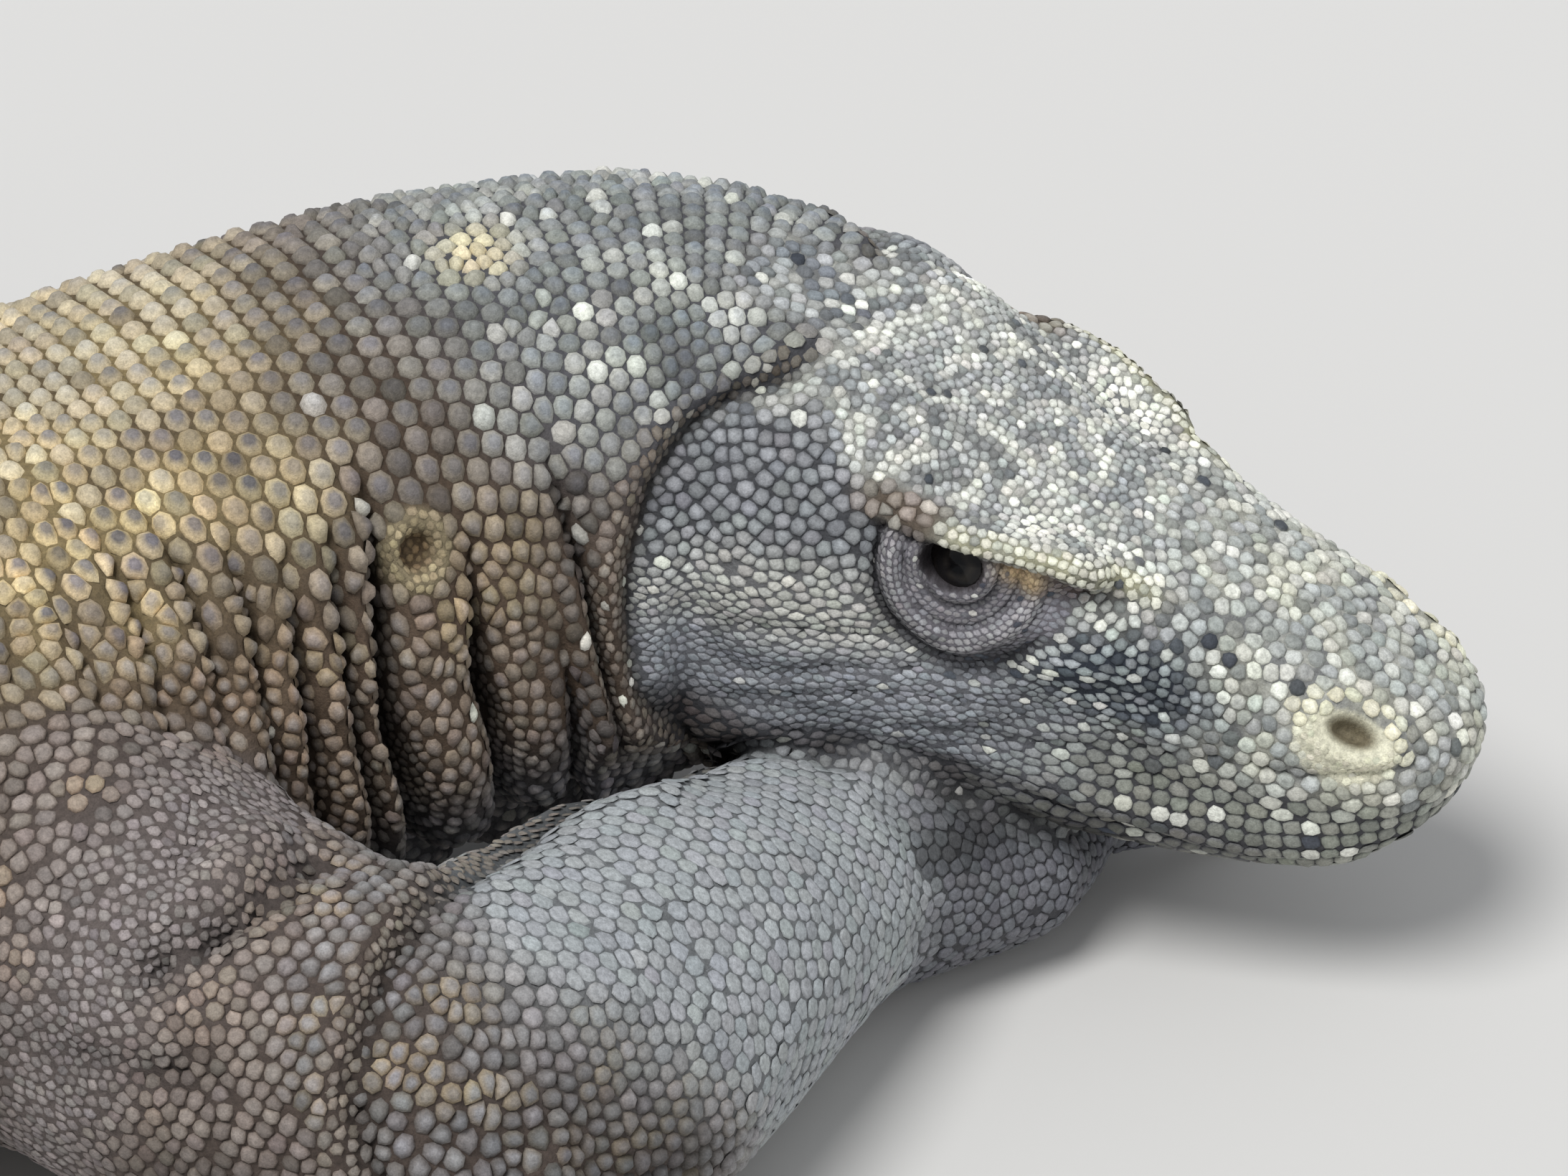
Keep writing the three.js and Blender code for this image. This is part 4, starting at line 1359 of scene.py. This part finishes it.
class Seeds:
    """The roots of the scales, each with its traits and with its lie, across and out as directions."""

    def __init__(self, tree, place, fixed, faces, points, normals, table, lie):
        self.tree, self.faces, self.points = tree, faces, points
        self.normals, self.table, self.lies = normals, table, lie
        self.fixed = fixed
        self.settle(place)

    def settle(self, place):
        """Sets the roots on the skin next to the places, and takes what the skin says there."""
        found = [self.tree.find_nearest(point) for point in place.tolist()]
        self.place = np.array([f[0] for f in found])
        self.corners = self.faces[np.array([f[2] for f in found])]
        self.weights = barycentric(self.place, self.points[self.corners].transpose(1, 0, 2))
        self.out = unit(self.blend(self.normals))
        lie = self.blend(self.lies)
        lie -= (lie * self.out).sum(1)[:, None] * self.out
        self.lie = unit(lie)
        self.across = np.cross(self.out, self.lie)
        self.traits = self.blend(self.table)

    def blend(self, values):
        return (values[self.corners] * self.weights[:, :, None]).sum(1)

    def trait(self, name):
        return self.traits[:, TRAITS[name]]

    def around(self, which, near):
        """Offsets to the neighbours, along and across the lie, with the stretch taken out."""
        off = self.place[near] - self.place[which][:, None]
        stretch = np.sqrt(self.trait("stretch")[which])[:, None]
        x = (off * self.lie[which][:, None]).sum(2) / stretch
        y = (off * self.across[which][:, None]).sum(2) * stretch
        return x, y, stretch

    def relax(self, times):
        """Moves strewn roots apart until they lie evenly."""
        every = np.arange(len(self.place))
        for _ in range(times):
            near = neighbours_of(self.place, 8)
            x, y, stretch = self.around(every, near)
            distance = np.hypot(x, y)
            size = (self.trait("size")[:, None] + self.trait("size")[near]) / 2
            alike = (self.out[near] * self.out[:, None]).sum(2) > 0.2
            force = np.clip(1 - distance / (1.15 * size), 0, 1) * alike
            force *= (1 - 0.85 * self.trait("rows"))[:, None] * (~self.fixed)[:, None]
            push = force * 0.55 * size / np.maximum(distance, 1e-6)
            moved = -(x * push).sum(1)[:, None] * self.lie * stretch
            moved -= (y * push).sum(1)[:, None] * self.across / stretch
            limit = 0.35 * self.trait("size")[:, None]
            length = np.linalg.norm(moved, axis=1, keepdims=True)
            moved *= np.minimum(1, limit / np.maximum(length, 1e-6))
            self.settle(self.place + 0.6 * moved)


def lie_of(at, spots):
    """The way the scales point: down the body and limbs, back over the head, round the lids."""
    lie = at.body[:, None] * at.tailward - at.head[:, None] * HEAD_AHEAD
    for share, _, _, _, ahead in at.legs.values():
        lie = lie + share[:, None] * ahead
    for side in (1, -1):
        spot = spots["eye", side]
        x, y, distance = spot.flat(at.points)
        swirl = (x / 1.4)[:, None] * spot.up - (y * 1.2)[:, None] * spot.back
        share = (1 - rise(distance, 17, 25)) * (y < 5)
        lie = lie * (1 - share)[:, None] + unit(swirl) * share[:, None]
    return lie


def spine_size(along, radius):
    """The size of the scales in rings, which the tail's thickness sets behind the trunk."""
    if along < 700:
        return float(np.interp(along, (0, 70, 110, 200, 340, 600, 900), (5.0, 5.2, 6.2, 6.2, 7.8, 7.6, 6.2)))
    return float(np.interp(radius, (6, 20, 45), (2.8, 4.4, 6.2)))


def leg_size(along, _):
    return float(np.interp(along, (110, 150, 195, 215), (4.7, 5.2, 5.2, 4.6)))


def rows_of(tree, spots):
    """The roots that stand in rows: on lips, brows and lids."""
    rows = []
    for side in SIDES:
        eye = spots["eye", side]
        rows += lip_seeds(tree, side) + brow_seeds(tree, eye) + lid_seeds(tree, eye)
    return np.array(rows)


def rings_of(tree, faces, table):
    """The roots in rings round body and legs, where the scales stand in rings and are not small."""
    rings = ring_seeds(SPINE, tree, reach=400, start=20, end=SPINE.at[-1] - 4, size_at=spine_size)
    for axis in LIMBS.values():
        rings += ring_seeds(axis, tree, reach=75, start=82, end=275, size_at=leg_size)
    rings = np.array(rings)
    corners = faces[rings[:, 3].astype(int)]
    in_rows = table[corners, TRAITS["rows"]].mean(1) > 0.4
    return rings[in_rows & (table[corners, TRAITS["size"]].mean(1) > 4.0)]


def bare(place, spots):
    """True in the gap between the lids and in the nostrils, where no scale stands."""
    found = np.zeros(len(place), bool)
    for side in SIDES:
        x, y, distance = spots["eye", side].flat(place)
        found |= (in_gap(x, y) < 1.08) & (below_brow(x, y) < 0.4) & (distance < 14)
        x, y, distance = spots["nostril", side].flat(place)
        found |= (np.hypot(x / NOSTRIL[0], y / NOSTRIL[1]) < 1.15) & (distance < 12)
    return found


COAT_SEED = 11
CROWDED = 5.0  # how many places are tried for each strewn scale
# How near to each other scales may stand, over their size: those in rows, in rings and strewn.
ROW_REACH, RING_REACH, STREWN_REACH = 0.7, 0.62, 0.80


def grow_scales(points, faces, at, coat, spots):
    """The roots of all scales: rows first, then rings, then strewn ones in what is left."""
    rng = np.random.default_rng(COAT_SEED)
    tree = tree_of(points, faces)
    table = coat.columns()
    rings = rings_of(tree, faces, table)
    rows = rows_of(tree, spots)
    face, weights = surface_samples(points, faces, coat.size, rng, CROWDED)
    strewn = (points[faces[face]] * weights[:, :, None]).sum(1)
    place = np.concatenate([rows[:, :3], rings[:, :3], strewn])
    owner = np.concatenate([rows[:, 3].astype(int), rings[:, 3].astype(int), face])
    size = table[faces[owner], TRAITS["size"]].mean(1)
    first = len(rows) + len(rings)
    kept = np.repeat((ROW_REACH, RING_REACH, STREWN_REACH), (len(rows), len(rings), len(strewn)))
    order = np.concatenate([np.arange(first), first + rng.permutation(len(strewn))])
    chosen = spread_out(place, size * kept, order)
    seeds = Seeds(tree, place[chosen], chosen < len(rows), faces, points, normals_of(points, faces), table,
                  lie_of(at, spots))
    seeds.relax(3)
    seeds.hidden = bare(seeds.place, spots)
    seeds.near = neighbours_of(seeds.place, 10)
    return seeds, rng


# ---- The scales' meshes ----

# Rings of points from the edge inwards: how far out, height in a tile and in a bead, and the share of the
# rim's colour in each.
NEAR_RINGS = (
    (1.00, 0.00, -0.10, 1.0, 1.0),
    (0.90, 0.62, 0.22, 0.60, 1.0),
    (0.70, 0.90, 0.50, 0.10, 0.75),
    (0.40, 0.98, 0.92, 0.0, 0.0),
)
SMALL_RINGS = (
    (1.00, 0.00, 0.00, 0.8, 1.0),
    (0.82, 0.70, 0.45, 0.4, 0.7),
    (0.45, 0.96, 0.88, 0.0, 0.1),
)
FAR_RINGS = (
    (1.00, -0.25, -0.25, 1.0, 1.0),
    (0.66, 0.85, 0.62, 0.1, 0.4),
)
SHARPNESS = 9.0  # how sharp the corners of a scale's outline are
WIDEST = 0.66  # from the root to the edge, over the size
RING_EDGE = 0.62  # from the root to the next ring's scales, over the spacing of the rings


def outlines(seeds, which, sides):
    """How far each scale reaches from its root in every direction, up to where its neighbours begin."""
    near = seeds.near[which]
    x, y, stretch = seeds.around(which, near)
    size = seeds.trait("size")
    share = size[which][:, None] / (size[which][:, None] + size[near])
    alike = (seeds.out[near] * seeds.out[which][:, None]).sum(2) > 0.1
    turn = 2 * math.pi * (np.arange(sides) + 0.5) / sides
    ways = np.stack([np.cos(turn), np.sin(turn)], 1)
    reach = x[:, None] * ways[None, :, :1] + y[:, None] * ways[None, :, 1:]
    limit = (x * x + y * y)[:, None] * share[:, None] / np.maximum(reach, 1e-6)
    limit = np.where((reach > 1e-3) & alike[:, None], limit, 1e6)
    ring_edge = RING_EDGE * ROW_SPACING * size[which][:, None] / np.maximum(np.abs(ways[None, :, 0]), 1e-3)
    ring_edge = ring_edge / np.maximum(seeds.trait("rows")[which][:, None], 1e-3)
    cell = ((1 / limit) ** SHARPNESS).sum(2) + (1 / ring_edge) ** SHARPNESS
    return np.minimum(cell ** (-1 / SHARPNESS), WIDEST * size[which][:, None]), ways, stretch


def scale_faces(sides, rings):
    """The triangles between a scale's rings of points, and from the last ring to its crest."""
    pattern = []
    last = (rings - 1) * sides
    for a in range(last):
        b = a + 1 if (a + 1) % sides else a + 1 - sides
        pattern += [(a, b, b + sides), (a, b + sides, a + sides)]
    pattern += [(last + j, last + (j + 1) % sides, last + sides) for j in range(sides)]
    return np.array(pattern)


LEAN = 0.05  # how far scales lean out of the surface, as a slope
TINT = 0.013  # how much their hue wanders


def scale_meshes(seeds, which, sides, rings, rng):
    """Points, faces, colours and offsets on the OFBake map of a scale on each of the chosen roots."""
    cell, ways, stretch = outlines(seeds, which, sides)
    count = len(which)
    column = lambda name: seeds.trait(name)[which][:, None]
    lined = 1 + column("rows") * (1.3 * ways[None, :, 0] ** 2 - 0.5)
    wide = cell * (1 - column("gap") * lined)
    size = np.minimum(column("size"), 2.2 * cell.mean(1, keepdims=True))
    tall = column("tall") * size * (1 + 0.3 * (rng.random((count, 1)) - 0.5))
    keel, bead, heart = column("keel"), column("bead"), column("heart") * rng.random((count, 1))
    top, rim, bare = seeds.traits[which, 0:3], seeds.traits[which, 3:6], seeds.traits[which, 6:9]
    light = np.clip(1 + column("varied") * rng.normal(0, 1, (count, 1)), 0.5, 1.5)
    chance = rng.random((count, 1))
    much = rng.uniform(0.25, 0.95, (count, 1))
    dark = much * (chance < column("dark"))
    pale = 0.8 * much * (chance > 1 - column("pale"))
    top = top + dark * (INK - top) + pale * (CREAM - top)
    rim = rim + dark * (INK * 0.8 - rim) + pale * (CREAM * 0.84 - rim)
    lean = rng.normal(0, LEAN, (2, count, 1))
    top = top + 0.8 * bead * rng.random((count, 1)) ** 1.5 * (rim - top)
    tint = 1 + TINT * rng.normal(0, 1, (count, 3))
    top, rim = top * tint, rim * tint
    layers, colours, offsets = [], [], []
    for share, flat, round_, flat_rim, round_rim in rings + ((0.0, 1.0, 1.0, 0.0, 0.0),):
        spokes = sides if share else 1
        x = share * wide[:, :spokes] * ways[None, :spokes, 0]
        y = share * wide[:, :spokes] * ways[None, :spokes, 1]
        ridge = keel * tall * 0.55 * np.exp(-(y / (0.2 * size)) ** 2) * (1 - share ** 4)
        tilt = 0.16 * keel * tall * x / (0.5 * size)
        height = flat + bead * (round_ - flat)
        z = height * tall + (ridge + tilt + lean[0] * x + lean[1] * y) * (height > 0)
        layers.append(np.stack([x * stretch, y / stretch, z], 2))
        edge = flat_rim + bead * (round_rim - flat_rim)
        colour = (top + edge * (rim - top)) * light * (1 - heart * (1 - share) ** 1.5)
        colour = np.repeat(colour[:, None], spokes, 1)
        if share == 1:
            lined = 0.35 + column("rows") * (0.65 * ways[None, :, 0] ** 2 - 0.25)
            colour = colour + lined[:, :, None] * (bare[:, None] - colour)
        colours.append(colour)
        offsets.append(np.stack([x, y], 2) / np.maximum(size, 1e-6)[:, :, None])
    local = np.concatenate(layers, 1)
    frames = np.stack([seeds.lie[which], seeds.across[which], seeds.out[which]], 1)
    points = seeds.place[which][:, None] + np.einsum("nvk,nkc->nvc", local, frames)
    points[:, :, 2] = np.maximum(points[:, :, 2], 0.05)
    faces = scale_faces(sides, len(rings))[None] + (np.arange(count) * len(local[0]))[:, None, None]
    colours, offsets = np.concatenate(colours, 1), np.concatenate(offsets, 1)
    return points.reshape(-1, 3), faces.reshape(-1, 3), colours, offsets


PIECE_TRIANGLES = 185000
NEAR_SIDES, SMALL_SIDES, FAR_SIDES = 8, 6, 6
SMALL = 3.0  # scales under this size are made with fewer rings


def make_coat(seeds, rng):
    """Joined meshes of scales: finest on head, neck and shoulders, plainer elsewhere and below."""
    spine = SPINE.coordinates(seeds.place)[0]
    back = head_coordinates(seeds.place)[0]
    close = (spine < 260) & (seeds.place[:, 0] > 240) & (seeds.place[:, 2] > 4)
    small = close & (seeds.trait("size") < SMALL)
    kinds = (
        (close & ~small, NEAR_SIDES, NEAR_RINGS),
        (small, SMALL_SIDES, SMALL_RINGS),
        (~close, FAR_SIDES, FAR_RINGS),
    )
    material = surface_material("scales", 0.72, 0.00025)
    number = 0
    for chosen, sides, rings in kinds:
        which = np.flatnonzero(chosen & ~seeds.hidden)
        which = which[np.argsort(spine[which] + 0.5 * back[which])]
        parts = max(1, math.ceil(len(which) * sides * (2 * len(rings) - 1) / PIECE_TRIANGLES))
        for part in np.array_split(which, parts):
            points, faces, colours, offsets = scale_meshes(seeds, part, sides, rings, rng)
            number += 1
            mesh = add_piece(f"scales_{number}", points, faces, colours.reshape(-1, 3), material, "skin")
            unwrap(mesh, seeds, part, faces, offsets)


PATCH = 0.003  # the width of a scale on the OFBake map


def unwrap(mesh, seeds, part, faces, offsets):
    """The OFBake map: each scale is a small patch at its root's place on an unrolled skin."""
    along, angle, _, _ = SPINE.coordinates(seeds.place[part])
    spread = lambda values: 0.02 + 0.96 * (values - values.min()) / max(values.max() - values.min(), 1e-6)
    root = np.stack([spread(along), spread(angle)], 1)
    uv = (root[:, None] + PATCH * np.clip(offsets, -0.5, 0.5)).reshape(-1, 2)
    layer = mesh.uv_layers.new(name="OFBake")
    layer.data.foreach_set("uv", uv[faces.ravel()].astype(np.float32).ravel())


# ---- Materials ----

def set_colours(mesh, colours):
    """Lays a linear colour on each point."""
    layer = mesh.color_attributes.new("colour", "FLOAT_COLOR", "POINT")
    values = np.ones((len(colours), 4), np.float32)
    values[:, :3] = np.clip(colours, 0, 1)
    layer.data.foreach_set("color", values.ravel())


def add_piece(name, points, faces, colours, material, slot, *replaced):
    """A piece on the root body, with a colour at each point, that stands in for the replaced nodes."""
    mesh = new_mesh(name, points, faces)
    set_colours(mesh, colours)
    mesh.materials.append(material)
    piece = new_object(name, mesh)
    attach(piece, "root")
    if replaced:
        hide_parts(*replaced)
    return mesh


def plain_material(name, roughness, specular):
    """A material, its shader and the colour laid on the mesh."""
    material = bpy.data.materials.new(name)
    material.use_nodes = True
    nodes = material.node_tree.nodes
    shader = nodes["Principled BSDF"]
    shader.inputs["Roughness"].default_value = roughness
    shader.inputs["Specular IOR Level"].default_value = specular
    colour = nodes.new("ShaderNodeAttribute")
    colour.attribute_name = "colour"
    return material, shader, colour.outputs["Color"]


GRAINS = ((800.0, 0.74, 1.26), (2600.0, 0.80, 1.20))  # grains in a metre, their darkest and lightest tone


def surface_material(name, roughness, depth):
    """The colour laid on the mesh, with two sizes of grain in its tone and its surface."""
    material, shader, tone = plain_material(name, roughness, 0.25)
    nodes, links = material.node_tree.nodes, material.node_tree.links

    def node(kind, **values):
        made = nodes.new("ShaderNode" + kind)
        for key, value in values.items():
            made.inputs[key.replace("_", " ")].default_value = value
        return made

    place = node("TexCoord")
    rough = node("Math")
    rough.operation = "ADD"
    for i, (grain, dark, light) in enumerate(GRAINS):
        speckle = node("TexNoise", Scale=grain, Detail=3.0)
        spread = node("MapRange", From_Min=0.25, From_Max=0.75, To_Min=dark, To_Max=light)
        tinted = node("VectorMath")
        tinted.operation = "SCALE"
        links.new(place.outputs["Object"], speckle.inputs["Vector"])
        links.new(speckle.outputs["Fac"], spread.inputs["Value"])
        links.new(tone, tinted.inputs["Vector"])
        links.new(spread.outputs["Result"], tinted.inputs["Scale"])
        links.new(speckle.outputs["Fac"], rough.inputs[i])
        tone = tinted.outputs["Vector"]
    bump = node("Bump", Strength=0.6, Distance=depth)
    links.new(tone, shader.inputs["Base Color"])
    links.new(rough.outputs["Value"], bump.inputs["Height"])
    links.new(bump.outputs["Normal"], shader.inputs["Normal"])
    return material


def eye_material():
    material, shader, colour = plain_material("eye", 0.10, 0.2)
    material.node_tree.links.new(colour, shader.inputs["Base Color"])
    return material


# ---- Eyes and claws ----

PUPIL, IRIS = 2.6, 5.6  # radii


def eye_colours(off, ahead):
    """Colours at each distance off the middle of the iris: dark ball, iris, a paler ring and the pupil."""
    colours = np.tile(srgb(40, 36, 34), (len(off), 1))
    for share, tone in (
        (1 - rise(off, IRIS - 0.5, IRIS + 0.3), srgb(26, 25, 26)),
        (crease(off - PUPIL - 0.5, 0.5), srgb(46, 42, 38)),
        (1 - rise(off, PUPIL - 0.4, PUPIL + 0.2), srgb(12, 12, 14)),
    ):
        colours = colours + (ahead * share)[:, None] * (tone - colours)
    return colours


def make_eyes(spots):
    """A ball in each eye's place, with an iris turned to the gap between the lids."""
    material = eye_material()
    bm = bmesh.new()
    bmesh.ops.create_icosphere(bm, subdivisions=4, radius=1.0)
    mesh = bpy.data.meshes.new("ball")
    bm.to_mesh(mesh)
    bm.free()
    ball, faces = mesh_arrays(mesh)
    ball = unit(ball)
    for side, name in zip(SIDES, ("eye_right", "eye_left")):
        middle, radius = eye_of(side)
        spot = spots["eye", side]
        gaze = unit(radius * spot.out + GAZE[0] * spot.back + GAZE[1] * spot.up)
        colours = eye_colours(radius * np.linalg.norm(np.cross(ball, gaze), axis=1), ball @ gaze > 0)
        add_piece(name + "_ball", middle + radius * ball, faces, colours, material, "eye", name)


CLAW_ROOT = 4.5  # how far a claw reaches on under the scales of its toe


def rooted(points, name):
    """The claw with its root drawn into the toe, away from its tip."""
    foot, _ = mesh_arrays(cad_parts[name.split("_claw")[0] + "_foot"].data)
    tip = points[np.argmax(np.linalg.norm(points - foot.mean(axis=0), axis=1))]
    reach = np.linalg.norm(points - tip, axis=1)
    inward = unit(points[reach > 0.92 * reach.max()].mean(axis=0) - tip)
    along = (points - tip) @ inward
    return points + CLAW_ROOT * rise(along, 0.80 * along.max(), along.max())[:, None] * inward


def make_claws():
    """Each claw with its facets rounded, in dark horn."""
    material = surface_material("horn", 0.45, 0.0001)
    for name in CLAWS:
        points, faces = welded(*mesh_arrays(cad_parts[name].data))
        for _ in range(3):
            points, faces = divided(points, faces, all_long(1.0))
        points = rooted(Smoother(faces, len(points)).fair(points, 12, np.ones(len(points))), name)
        points[:, 2] = np.maximum(points[:, 2], 0)
        colours = np.tile(srgb(72, 66, 60), (len(points), 1))
        add_piece(name + "_horn", points, faces, colours, material, "claw", name)


bpy.context.scene.view_settings.view_transform = "Standard"
make_camera()
make_stage()
points, faces, node_of = base_skin()
spots = spots_of(tree_of(points, faces))
points, faces = refine(points, faces, spots)
spread = Smoother(faces, len(points))
points, at = fold(points, faces, node_of(points), spread, spots)
coat = coat_of(at, spots)
add_piece("skin", points, faces, coat.skin, surface_material("skin", 0.75, 0.0003), "skin", *FLESH)
seeds, rng = grow_scales(points, faces, at, coat, spots)
make_coat(seeds, rng)
make_eyes(spots)
make_claws()
